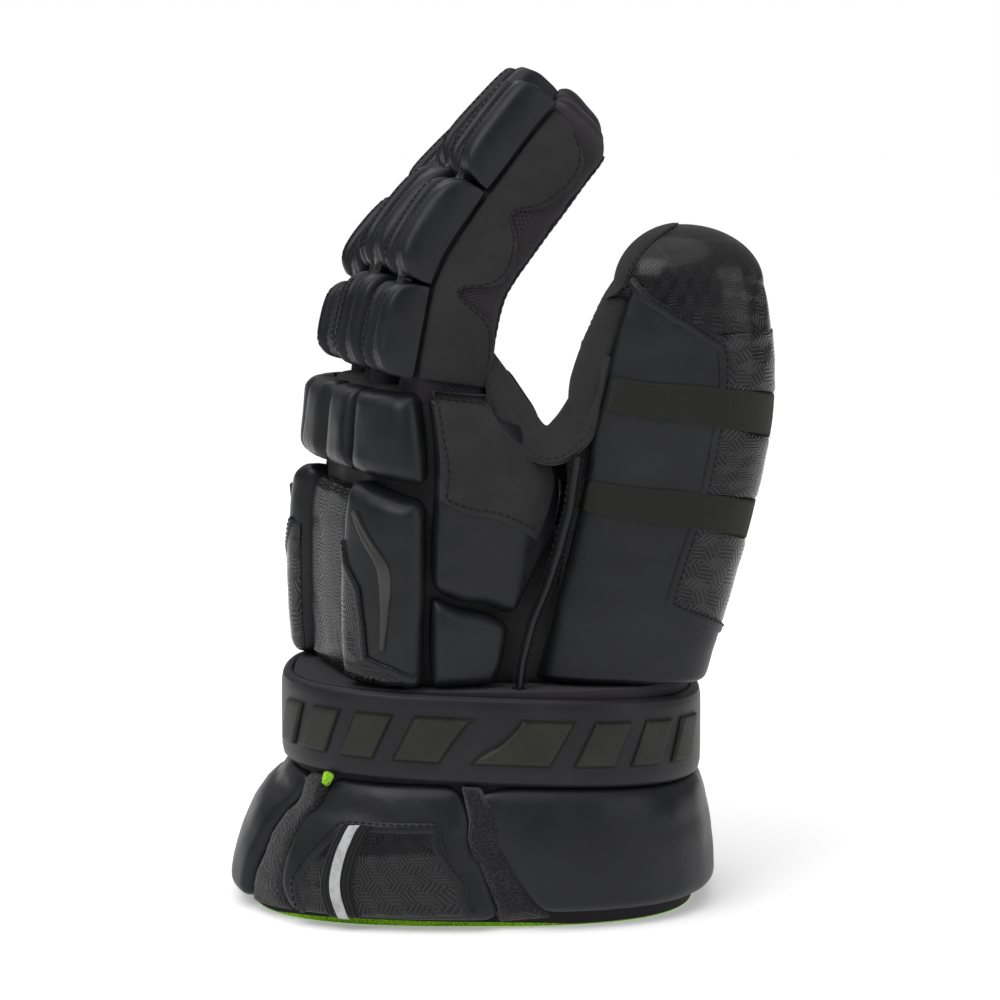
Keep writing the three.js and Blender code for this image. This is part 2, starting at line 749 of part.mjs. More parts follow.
// The notch's left end and top, and how far in from the middle its edge, ridge and back lie.
const NOTCH_X = THUMB_X - 0.727 * THUMB_DEPTH;
const NOTCH_Z = CUFF_HEIGHT + 0.774 * HAND_LENGTH;
const NOTCH_NEAR = -0.504 * HAND_WIDTH;
const NOTCH_RIDGE = -0.365 * HAND_WIDTH;
const NOTCH_BACK = -0.157 * HAND_WIDTH;
// How far the web falls behind its ridge, as a share of the notch's depth.
const WEB_FALL = 0.32;

function webGusset() {
  const at = (across, y, up) =>
    new THREE.Vector3(NOTCH_X + across * NOTCH_WIDTH, y, NOTCH_Z + up * NOTCH_DEPTH);
  const rings = ramp(0, WEB_NOTCH.length - 1, 9).map((place) => {
    const [nearX, nearZ, ridgeX, ridgeZ, footZ] = rowAt(WEB_NOTCH, place);
    const outer = [
      at(nearX, NOTCH_NEAR, nearZ),
      at(ridgeX, NOTCH_RIDGE, ridgeZ),
      at(ridgeX, NOTCH_BACK, ridgeZ - WEB_FALL),
      at(ridgeX, NOTCH_BACK, footZ),
    ];
    const inward = [
      new THREE.Vector3(0, LEATHER, -LEATHER / 2),
      new THREE.Vector3(0, 0, -LEATHER),
      new THREE.Vector3(0, -LEATHER, -LEATHER),
      new THREE.Vector3(0, -LEATHER, 0),
    ];
    const inner = outer.map((point, k) => point.clone().add(inward[k])).reverse();
    return [...outer, ...inner];
  });
  const index = filled(fingers[0].tube, FINGER_PLACES, SUEDE + 2 * CLEARANCE, FINGER_SIDES);
  const pads = [
    room(hand, SIDE_UPPER, SIDE_PAD),
    room(hand, WEB_PATCH, SIDE_PAD + SUEDE + SINK),
    room(thumb, BINDING_OUTLINE, BINDING),
  ];
  add("web_gusset", cut(skin(rings), handBody, heelBody, thumbBody, index, ...pads), "suede");
}

// The thumb's pads, which wrap from its near face round its outer edge.
const THUMB_MAIN = [
  [206, 0.009, 352, 0.009],
  [214, 0.098, 352, 0.098],
  [219, 0.191, 285, 0.191],
  [220, 0.399, 284, 0.399],
  [224, 0.543, 284, 0.543],
  [229, 0.699, 285, 0.676],
  [231, 0.888, 283, 0.778],
];
const THUMB_SIDE = [
  [286, 0.202, 400, 0.121],
  [286, 0.399, 400, 0.399],
  [287, 0.572, 400, 0.572],
  [287, 0.774, 400, 0.774],
];
// The cap over the thumb's tip. Rows: angle, how low it reaches, share of its thickness there.
const THUMB_TIP = [
  [0, 0.81, 1],
  [40, 0.9, 0.5],
  [70, 0.94, -0.4],
  [110, 0.95, -0.4],
  [150, 0.95, -0.4],
  [205, 0.94, -0.4],
  [222, 0.91, 0.3],
  [236, 0.895, 1],
  [260, 0.845, 1],
  [285, 0.785, 1],
  [320, 0.785, 1],
  [360, 0.81, 1],
];
// How the cap closes over the tip: share of the way in, share of its thickness up.
const TIP_CLOSE = [
  [0.35, 0.6],
  [0.75, 0.95],
];
const TIP_STEPS = [0, 0.1, 0.5, 0.85, 1];
const TIP_RIM = 0.6;

function thumbTip() {
  const row = (angle) => {
    const high = THUMB_TIP.findIndex(([at]) => at >= angle) || 1;
    const [[a, low, rise], [b, lowNext, riseNext]] = THUMB_TIP.slice(high - 1, high + 1);
    const share = (angle - a) / (b - a);
    return [low + (lowNext - low) * share, rise + (riseNext - rise) * share];
  };
  const angles = circle(THUMB_SIDES);
  const rings = TIP_STEPS.map((t) =>
    angles.map((angle) => {
      const [low, rise] = row(angle);
      const edge = t ? 1 : TIP_RIM;
      return thumb.at(low + (THUMB_PLACES.at(-1) - low) * t, angle, rise > 0 ? rise * edge * THUMB_CAP : -SINK);
    }),
  );
  const crown = middleOf(ringOf(thumb, THUMB_PLACES.at(-1), 0, THUMB_SIDES));
  const closing = TIP_CLOSE.map(([inwards, up]) =>
    rings.at(-1).map((p) => p.clone().lerp(crown, inwards).addScaledVector(UP, up * THUMB_CAP)),
  );
  return cut(skin([...rings, ...closing]), thumbBody);
}

function thumbPads() {
  const shape = { thick: THUMB_PAD, soft: 0.16, seat: thumbBody };
  const mainSteps = [0, 0.04, 0.167, 0.33, 0.6, 0.88, 0.97, 1];
  add("thumb_pad", cut(patch(thumb, THUMB_MAIN, { ...shape, steps: mainSteps }), handBody, heelBody), "leather");
  add("thumb_side_panel", patch(thumb, THUMB_SIDE, { ...shape, spread: LONG_SPREAD }), "embossed");
  add("thumb_tip_cap", thumbTip(), "embossed");
}

// The two elastic straps across the thumb, from their lower to their upper edge.
const STRAP_UPPER = [
  [235, 0.63, 372, 0.555],
  [236, 0.694, 372, 0.647],
];
const STRAP_LOWER = [
  [228, 0.399, 372, 0.324],
  [229, 0.462, 372, 0.416],
];

function thumbStraps() {
  const lift = THUMB_PAD + 4 * CLEARANCE;
  const shape = { thick: THUMB_STRAP, lift, rim: 1, steps: ramp(0, 1, 3), spread: ramp(0, 1, 9) };
  add("thumb_strap_upper", patch(thumb, STRAP_UPPER, shape), "webbing");
  add("thumb_strap_lower", patch(thumb, STRAP_LOWER, shape), "webbing");
}

// The suede binding down the palm edge of the thumb.
const BINDING_OUTLINE = [
  [150, 0.607, 221, 0.572],
  [150, 0.717, 227, 0.717],
  [150, 0.83, 229, 0.83],
  [152, 0.925, 222, 0.885],
];

function thumbBinding() {
  const shape = { thick: BINDING, rim: 0.7, spread: ramp(0, 1, 4), steps: ramp(0, 1, 6), seat: thumbBody };
  add("thumb_binding", patch(thumb, BINDING_OUTLINE, shape), "suede");
}

// The elastic wrist band: a moulded ring with a row of raised blocks on its near face. Its section
// holds shares of the thickness outwards and shares of the height.
const BAND_SECTION = [
  [0, 0],
  [0, 1],
  [0.5, 1],
  [1, 0.88],
  [1, 0.12],
  [0.5, 0],
];
const BAND_TILT = [0.04, 0.03];
// The blocks: the angles of the first and last; their low and high edge, as shares of the height;
// half their turn at the foot and at the face; their slant; where their root lies in the band.
const BLOCKS = [206, 330];
const BLOCK_EDGES = [0.24, 0.76];
const BLOCK_TURN_DEG = [4.6, 4.2];
const BLOCK_SLANT = 0.4;
const BLOCK_ROOT = 0.6;

function bandPoint(degrees, out, up) {
  const foot = cuff.surface(1, degrees);
  const outward = cuff.at(1, degrees, 1).sub(foot).setZ(0).normalize();
  const point = foot.clone().addScaledVector(outward, CLEARANCE + out * BAND);
  return point.setZ(BAND_PLACE * CUFF_HEIGHT - BAND_TILT[0] * foot.x - BAND_TILT[1] * foot.y + up * BAND_HEIGHT);
}

function wristBand() {
  const sections = circle(CUFF_SIDES).map((angle) => BAND_SECTION.map(([out, up]) => bandPoint(angle, out, up)));
  const ring = skin(sections, true);
  const blocks = ramp(...BLOCKS, BLOCK_COUNT).map((angle) => {
    const face = (out, turn) => [
      bandPoint(angle - turn, out, BLOCK_EDGES[0]),
      bandPoint(angle + turn * BLOCK_SLANT, out, BLOCK_EDGES[0]),
      bandPoint(angle + turn, out, BLOCK_EDGES[1]),
      bandPoint(angle - turn * BLOCK_SLANT, out, BLOCK_EDGES[1]),
    ];
    return skin([face(BLOCK_ROOT, BLOCK_TURN_DEG[0]), face(1 + BLOCK / BAND, BLOCK_TURN_DEG[1])]);
  });
  add("wrist_band", join(ring, ...blocks), "rubber");
}

// The padded lobes round the cuff, which thin out under the wrist band.
const LOBES = {
  cuff_near_lobe: [
    [228, 0.05, 274, 0.035],
    [222, 0.176, 271, 0.242],
    [222, 0.396, 269, 0.418],
    [226, 0.615, 266.5, 0.61],
  ],
  cuff_thumb_lobe: [
    [282, 0.07, 392, 0.05],
    [275.5, 0.22, 396, 0.22],
    [273, 0.418, 396, 0.418],
    [272, 0.605, 394, 0.54],
  ],
  cuff_far_lobe: [
    [41, 0.035, 136, 0.035],
    [41, 0.22, 137, 0.22],
    [40, 0.418, 137, 0.418],
    [40, 0.535, 136, 0.565],
  ],
  cuff_back_lobe: [
    [141, 0.035, 205, 0.04],
    [141, 0.22, 207, 0.22],
    [141, 0.418, 210, 0.418],
    [141, 0.575, 215, 0.615],
  ],
};
// A lobe thins out from a share of its height to its top, where it keeps a share of its thickness.
const LOBE_THINS = 0.55;
const LOBE_TOP = 0.38;
const LOBE_EASE = 1.4;

function lobeThick(share) {
  const rise = Math.max(0, (share - LOBE_THINS) / (1 - LOBE_THINS));
  return CUFF_LOBE * (1 - (1 - LOBE_TOP) * rise ** LOBE_EASE);
}

function cuffLobes() {
  const shape = { thick: lobeThick, soft: 0.14, spread: LONG_SPREAD, seat: cuffBody };
  Object.entries(LOBES).forEach(([name, outline]) => add(name, patch(cuff, outline, shape), "leather"));
}

// Hook-and-loop fleece along the edges of the back lobe and the thumb lobe.
const FLEECE_EDGES = {
  fleece_back_edge: [
    [206.5, 0.035, 225, 0.05],
    [208.5, 0.22, 220.5, 0.2],
    [211.5, 0.418, 220.5, 0.396],
    [217, 0.615, 224.5, 0.615],
  ],
  fleece_thumb_edge: [
    [275, 0.035, 281, 0.045],
    [271.8, 0.242, 274.6, 0.22],
    [269.8, 0.418, 272.2, 0.418],
    [267.3, 0.61, 271.2, 0.605],
  ],
};

function cuffFleece() {
  const spread = [0, 0.3, 0.7, 1];
  const steps = [0, 0.12, 0.35, 0.65, 0.88, 1];
  const shape = { thick: FLEECE, soft: 0.4, rim: 0.5, spread, steps, seat: cuffBody };
  Object.entries(FLEECE_EDGES).forEach(([name, outline]) => add(name, patch(cuff, outline, shape), "fleece"));
}

// The embossed inset on the near lobe, the ribbed tape across it and the reflective stripe.
const INSET_OUTLINE = [
  [231, 0.099, 267, 0.066],
  [232, 0.198, 264.5, 0.176],
  [235, 0.396, 257, 0.407],
];
const TAPE_OUTLINE = [
  [243.5, 0.077, 252, 0.077],
  [242.5, 0.231, 250.5, 0.231],
  [241.5, 0.385, 249, 0.385],
];
const STRIPE_OUTLINE = [
  [246.2, 0.088, 249.2, 0.088],
  [245.2, 0.231, 248, 0.231],
  [244.2, 0.374, 246.8, 0.374],
];

function cuffPanel() {
  const wide = { rim: 1, steps: ramp(0, 1, 5), spread: ramp(0, 1, 6) };
  const narrow = { ...wide, spread: ramp(0, 1, 3) };
  const insetLift = CUFF_LOBE + 2 * CLEARANCE;
  const tapeLift = insetLift + CUFF_INSET + CLEARANCE;
  const stripeLift = tapeLift + TAPE + CLEARANCE;
  add("cuff_inset", patch(cuff, INSET_OUTLINE, { ...wide, thick: CUFF_INSET, lift: insetLift }), "embossed");
  add("cuff_tape", patch(cuff, TAPE_OUTLINE, { ...narrow, thick: TAPE, lift: tapeLift }), "tape");
  add("cuff_stripe", patch(cuff, STRIPE_OUTLINE, { ...narrow, thick: STRIPE, lift: stripeLift }), "reflective");
}

// Moves the finished glove so that its box is centred over the origin and stands on z = 0.
function standOnOrigin() {
  const box = new THREE.Box3().setFromObject(glove);
  const middle = box.getCenter(new THREE.Vector3());
  glove.position.set(-middle.x, -middle.y, -box.min.z);
}

cuffLining();
palmShell();
thumbStall();
fingerStalls();
fingerPads();
fingerStrips();
sidePanels();
knucklePads();
backPads();
backRibs();
sidePads();
webPatch();
webGusset();
thumbPads();
thumbStraps();
thumbBinding();
wristBand();
cuffLobes();
cuffFleece();
cuffPanel();
standOnOrigin();

export default glove;
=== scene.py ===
"""Dresses a left-hand lacrosse glove that stands on its cuff, with its thumb side to the camera.

Lengths are in metres. +Z points to the fingertips, +X from the back of the hand to the palm and
thumb, and the thumb side faces -Y. A glove's skins and pads lie on guide surfaces, where a place is
the share of a guide's length and an angle is 0 at the palm, 90 at the far side, 180 at the back of
the hand and 270 at the thumb side.
"""

from __future__ import annotations

import logging
import math
from dataclasses import dataclass, field
from enum import Enum
from typing import Callable, Iterable, Sequence

import bmesh
import bpy
import numpy as np
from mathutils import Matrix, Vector

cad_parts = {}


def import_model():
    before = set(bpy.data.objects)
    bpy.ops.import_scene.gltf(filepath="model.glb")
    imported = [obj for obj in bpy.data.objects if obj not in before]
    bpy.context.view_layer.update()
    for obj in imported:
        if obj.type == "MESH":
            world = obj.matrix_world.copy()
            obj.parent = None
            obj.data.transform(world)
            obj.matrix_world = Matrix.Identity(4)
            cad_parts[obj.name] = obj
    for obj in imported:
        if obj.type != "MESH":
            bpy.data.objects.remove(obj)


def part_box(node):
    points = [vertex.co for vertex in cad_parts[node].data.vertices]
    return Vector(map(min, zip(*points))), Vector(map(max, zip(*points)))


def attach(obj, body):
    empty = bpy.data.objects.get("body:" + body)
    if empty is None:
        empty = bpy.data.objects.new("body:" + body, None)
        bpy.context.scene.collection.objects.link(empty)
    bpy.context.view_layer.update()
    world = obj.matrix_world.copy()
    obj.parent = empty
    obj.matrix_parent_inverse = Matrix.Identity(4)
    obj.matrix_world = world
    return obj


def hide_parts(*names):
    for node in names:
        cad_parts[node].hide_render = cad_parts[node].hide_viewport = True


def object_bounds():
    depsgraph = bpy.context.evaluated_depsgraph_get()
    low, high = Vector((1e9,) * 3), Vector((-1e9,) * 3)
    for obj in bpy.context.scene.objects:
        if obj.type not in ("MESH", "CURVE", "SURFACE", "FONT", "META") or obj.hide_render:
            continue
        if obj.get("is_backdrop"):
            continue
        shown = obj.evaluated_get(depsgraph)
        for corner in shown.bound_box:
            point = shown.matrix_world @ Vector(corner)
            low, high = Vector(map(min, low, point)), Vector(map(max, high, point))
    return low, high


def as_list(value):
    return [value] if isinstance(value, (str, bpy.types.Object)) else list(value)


log = logging.getLogger("glove")

MM = 0.001
CLEARANCE = 0.35 * MM
MERGE = 1e-5
SLEEVE_END = 0.985

Array = np.ndarray
Colour = tuple[float, float, float]
Rows = Sequence[Sequence[float]]
Surface = Callable[[Array, Array], Array]


def row_at(rows: Array, count: Array) -> Array:
    """Reads smooth rows of a table between its own rows.

    Args:
        rows: The table.
        count: Where to read it, counted in rows.

    Returns:
        One row for each count.
    """
    last = len(rows) - 1
    i = np.clip(np.floor(count).astype(int), 0, last - 1)
    f = (count - i)[..., None]
    b, c = rows[i], rows[i + 1]
    a = np.where((i > 0)[..., None], rows[np.maximum(i - 1, 0)], 2 * b - c)
    d = np.where((i + 2 <= last)[..., None], rows[np.minimum(i + 2, last)], 2 * c - b)
    return b + 0.5 * f * (c - a + f * (2 * a - 5 * b + 4 * c - d + f * (3 * (b - c) + d - a)))


def straight_row(rows: Array, share: Array) -> tuple[Array, ...]:
    """The columns of a table, read along straight lines at shares of the way down it."""
    count = share * (len(rows) - 1)
    return tuple(np.interp(count, np.arange(len(rows)), column) for column in rows.T)


def way_along(points: Array) -> Array:
    """How far along a line of points each one lies."""
    return np.concatenate([[0], np.cumsum(np.linalg.norm(np.diff(points, axis=0), axis=1))])


def oval(
    degrees: Array, half_depth: Array, half_width: Array, squareness: Array | float
) -> tuple[Array, Array]:
    """Rounded-square section: how far to the palm and how far to the far side."""
    c, s = np.cos(np.radians(degrees)), np.sin(np.radians(degrees))
    power = 2 / squareness
    return half_depth * np.sign(c) * np.abs(c) ** power, half_width * np.sign(s) * np.abs(s) ** power


class Guide:
    """A guide surface that skins and pads lie on."""

    def surface(self, place: Array, degrees: Array) -> Array:
        """Points of the guide itself."""
        raise NotImplementedError

    def normal(self, place: Array, degrees: Array) -> Array:
        """Outward directions."""
        around = self.surface(place, degrees + 1) - self.surface(place, degrees - 1)
        along = self.surface(place + 0.002, degrees) - self.surface(place - 0.002, degrees)
        out = np.cross(around, along)
        return out / np.maximum(np.linalg.norm(out, axis=-1, keepdims=True), 1e-12)

    def at(self, place: Array, degrees: Array, above: Array | float = 0.0) -> Array:
        """Points some way above the guide.

        Args:
            place: Shares of the guide's length.
            degrees: Angles round it.
            above: How far the points stand above it.

        Returns:
            One point for each place.
        """
        rise = np.asarray(above, float)
        return self.surface(place, degrees) + self.normal(place, degrees) * rise[..., None]


@dataclass
class LevelGuide(Guide):
    """Level sections: place; centre to the palm and to the far side, as shares of the depth and
    width; half depth and half width, as shares; squareness."""

    foot: Vector
    height: float
    depth: float
    width: float
    to_palm: Vector
    to_far: Vector
    rows: Rows

    def __post_init__(self) -> None:
        """Notes where the places lie between the rows."""
        self.table = np.array(self.rows, float)
        self.counts = np.linspace(0, len(self.table) - 1, 400)
        self.places = row_at(self.table, self.counts)[:, 0]

    def surface(self, place: Array, degrees: Array) -> Array:
        """Points of the guide itself."""
        row = row_at(self.table, np.interp(place, self.places, self.counts))
        ahead, aside = oval(degrees, row[..., 3] * self.depth, row[..., 4] * self.width, row[..., 5])
        centre = np.stack(
            [row[..., 1] * self.depth, row[..., 2] * self.width, np.asarray(place) * self.height], axis=-1
        )
        palm, far = np.array(self.to_palm), np.array(self.to_far)
        return np.array(self.foot) + centre + ahead[..., None] * palm + aside[..., None] * far


@dataclass
class FingerGuide(Guide):
    """Sections across a curled finger: reach to the palm and height, as shares of its length; half
    depth and half width, as shares of its sizes."""

    base: Vector
    length: float
    depth: float
    width: float
    to_palm: Vector
    along_row: Vector
    rows: Rows
    squareness: float = 3.6

    def __post_init__(self) -> None:
        """Keeps the table as an array."""
        self.table = np.array(self.rows, float)

    def frame(self, place: Array) -> tuple[Array, Array, Array]:
        """The section's centre, its direction to the palm, and its half depth and half width."""
        count = np.asarray(place, float) * (len(self.table) - 1)
        row = row_at(self.table, count)
        step = row_at(self.table, count + 0.01) - row_at(self.table, count - 0.01)
        palm, row_way, up = np.array(self.to_palm), np.array(self.along_row), np.array((0.0, 0.0, 1.0))
        along = step[..., :1] * palm + step[..., 1:2] * up
        along /= np.linalg.norm(along, axis=-1, keepdims=True)
        centre = np.array(self.base) + self.length * (row[..., :1] * palm + row[..., 1:2] * up)
        return centre, np.cross(row_way, along), row[..., 2:4] * (self.depth, self.width)

    def surface(self, place: Array, degrees: Array) -> Array:
        """Points of the guide itself."""
        centre, palm, half = self.frame(place)
        ahead, aside = oval(degrees, half[..., 0], half[..., 1], self.squareness)
        return centre + ahead[..., None] * palm + aside[..., None] * np.array(self.along_row)

    def angle_on_side(self, share: Array) -> Array:
        """The angle at which the thumb side has gone a share of the way to the palm."""
        cosine = np.sign(share) * np.abs(share) ** (self.squareness / 2)
        return 360 - np.degrees(np.arccos(cosine))


@dataclass
class Outer(Guide):
    """The outermost of two guides, as seen from the palm."""

    first: Guide
    second: Guide
    ahead: Vector
    blend: float = 12 * MM

    def surface(self, place: Array, degrees: Array) -> Array:
        """Points of the guide itself."""
        one, two = self.first.surface(place, degrees), self.second.surface(place, degrees)
        gap = (two - one) @ np.array(self.ahead)
        share = np.clip(0.5 + gap / self.blend, 0, 1)[..., None]
        return one + (two - one) * share * share * (3 - 2 * share)


@dataclass
class Face(Guide):
    """The face of another piece as a guide, where an angle is the hundredths of the way across."""

    of: Surface

    def surface(self, place: Array, degrees: Array) -> Array:
        """Points of the guide itself."""
        across = np.asarray(degrees, float) / 100
        return self.of(across, np.broadcast_to(np.asarray(place, float), across.shape))


@dataclass
class Front(Guide):
    """An upright plane that faces the camera: an angle there is millimetres to the palm."""

    origin: Vector
    depth: float

    def surface(self, place: Array, degrees: Array) -> Array:
        """Points of the guide itself."""
        across = np.asarray(degrees, float) * MM
        place = np.broadcast_to(np.asarray(place, float), across.shape)
        return np.stack([across, np.full(across.shape, self.depth), place], -1) + np.array(self.origin)


@dataclass
class Guides:
    """The driving sizes of the glove, and the guides that come from them."""

    cuff_depth: float = 176 * MM
    cuff_width: float = 130 * MM
    hand_length: float = 115 * MM
    hand_depth: float = 78 * MM
    hand_width: float = 115 * MM
    thumb_length: float = 172 * MM
    thumb_depth: float = 66 * MM
    thumb_width: float = 34 * MM
    thumb_gap: float = 1.5 * MM
    thumb_inset: float = 7.5 * MM
    hand_edge: float = 0.109
    finger_length: float = 101 * MM
    finger_pitch: float = 29 * MM
    finger_width: float = 27 * MM
    finger_depth: float = 31 * MM
    row_turn: float = math.radians(18)
    cuff_rows: Rows = (
        (0, -0.0625, -0.008, 0.5, 0.5, 2.8), (0.154, -0.06, -0.008, 0.494, 0.504, 2.8),
        (0.374, -0.043, -0.008, 0.466, 0.508, 2.8), (0.53, -0.02, -0.008, 0.447, 0.512, 2.8),
        (1, -0.02, -0.008, 0.447, 0.512, 2.8),
    )
    hand_rows: Rows = (
        (0, -0.391, -0.009, 0.449, 0.487, 3.2), (0.252, -0.378, -0.009, 0.48, 0.496, 3.2),
        (0.513, -0.353, -0.009, 0.5, 0.5, 3.2), (0.704, -0.353, -0.013, 0.465, 0.5, 3.2),
        (0.861, -0.417, -0.017, 0.365, 0.5, 3.0), (1, -0.487, -0.017, 0.269, 0.5, 3.0),
    )
    heel_rows: Rows = (
        (0, 0.15, 0, 0.56, 0.42, 2.6), (0.2, 0.07, 0, 0.5, 0.41, 2.6),
        (0.42, -0.05, 0, 0.38, 0.4, 2.6), (0.64, -0.19, 0, 0.27, 0.36, 2.6),
    )
    thumb_rows: Rows = (
        (0, 0, 0, 0.409, 0.5, 2.8), (0.168, 0.1, -0.03, 0.44, 0.5, 2.8),
        (0.399, 0.245, -0.06, 0.455, 0.5, 2.8), (0.63, 0.333, -0.118, 0.475, 0.5, 2.8),
        (0.832, 0.38, -0.147, 0.4, 0.47, 2.6), (0.942, 0.43, -0.176, 0.27, 0.382, 2.4),
        (1, 0.455, -0.206, 0.136, 0.206, 2.2),
    )
    curl_rows: Rows = (
        (0.01, -0.07, 0.5, 0.5), (0.048, 0.154, 0.5, 0.5), (0.096, 0.365, 0.5, 0.5),
        (0.163, 0.49, 0.5, 0.5), (0.31, 0.683, 0.5, 0.5), (0.453, 0.865, 0.5, 0.5),
        (0.535, 0.96, 0.48, 0.47), (0.575, 1.005, 0.35, 0.33),
    )

    def __post_init__(self) -> None:
        """Stands the guides where the frame's lining stands."""
        low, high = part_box("cuff_lining")
        foot = self.cuff_rows[0]
        self.cuff_height = high.z - low.z
        self.shift = Vector(((low.x + high.x) / 2 - foot[1] * self.cuff_depth, 0, low.z))
        self.shift.y = (low.y + high.y) / 2 - foot[2] * self.cuff_width
        turn = self.row_turn
        self.to_palm = Vector((math.cos(turn), math.sin(turn), 0))
        self.along_row = Vector((-math.sin(turn), math.cos(turn), 0))
        square = {"to_palm": Vector((1, 0, 0)), "to_far": Vector((0, 1, 0))}
        turned = {"to_palm": self.to_palm, "to_far": self.along_row}
        wrist = self.shift + Vector((0, 0, self.cuff_height))
        cuff = (self.shift, self.cuff_height, self.cuff_depth, self.cuff_width)
        self.cuff = LevelGuide(*cuff, rows=self.cuff_rows, **square)
        hand = (wrist, self.hand_length, self.hand_depth, self.hand_width)
        self.hand = LevelGuide(*hand, rows=self.hand_rows, **turned)
        self.heel = LevelGuide(*hand, rows=self.heel_rows, **turned)
        self.thumb_foot = wrist + Vector(
            (
                self.hand_edge * self.hand_depth + self.thumb_depth / 2 + self.thumb_gap,
                (self.thumb_width - self.hand_width) / 2 + self.thumb_inset,
                0,
            )
        )
        thumb = (self.thumb_foot, self.thumb_length, self.thumb_depth, self.thumb_width)
        self.thumb = LevelGuide(*thumb, rows=self.thumb_rows, **square)

    def finger(self, seat: float, arch: float, share: float, curl: float) -> FingerGuide:
        """The guide of one finger.

        Args:
            seat: Its place in the row, counted in pitches.
            arch: How far it stands back, as a share of its depth.
            share: Its length, as a share.
            curl: Its reach to the palm, as a share.

        Returns:
            The guide.
        """
        knuckles = self.hand.surface(np.array([1.0, 1.0]), np.array([90.0, 270.0])).mean(axis=0)
        base = Vector(knuckles) + self.along_row * (seat * self.finger_pitch)
        base -= self.to_palm * (arch * self.finger_depth)
        rows = [(reach * curl, z * share if z > 0 else z, *half) for reach, z, *half in self.curl_rows]
        sizes = (self.finger_length, self.finger_depth, self.finger_width)
        return FingerGuide(base, *sizes, self.to_palm, self.along_row, rows)


def math_node(operation: str) -> Callable[..., Sock]:
    """A method that adds a Math node on a socket and whatever else it is given."""

    def method(first: Sock, *others: Sock | float) -> Sock:
        inputs = dict(enumerate((first, *others)))
        return first.graph.node("ShaderNodeMath", {"operation": operation}, inputs)

    return method


class Sock:
    """A shader socket, or a number, that Python's operators work on."""

    __add__ = math_node("ADD")
    __sub__ = math_node("SUBTRACT")
    __mul__ = math_node("MULTIPLY")
    __truediv__ = math_node("DIVIDE")
    __lt__ = math_node("LESS_THAN")
    __gt__ = math_node("GREATER_THAN")
    __abs__ = math_node("ABSOLUTE")
    sine = math_node("SINE")
    floor_mod = math_node("FLOORED_MODULO")
    ping_pong = math_node("PINGPONG")

    def __init__(self, graph: Graph, value: bpy.types.NodeSocket | float) -> None:
        """Keeps the graph and the socket."""
        self.graph = graph
        self.value = value

    def __rsub__(self, other: float) -> Sock:
        """Difference from a number."""
        return Sock(self.graph, other) - self

    def wave(self) -> Sock:
        """A triangle wave from 0 to 1 to 0 for each whole step."""
        return self.ping_pong(0.5) * 2

    def step(self, low: float, high: float) -> Sock:
        """A smooth step from 0 to 1."""
        settings = {"interpolation_type": "SMOOTHSTEP"}
        inputs = {"Value": self, "From Min": low, "From Max": high}
        return self.graph.node("ShaderNodeMapRange", settings, inputs, "Result")

    def choose(self, yes: Sock | float, no: Sock | float) -> Sock:
        """One value where this is 1, and the other where it is 0."""
        inputs = {"Factor": self, "A": no, "B": yes}
        return self.graph.node("ShaderNodeMix", {"data_type": "FLOAT"}, inputs, "Result")


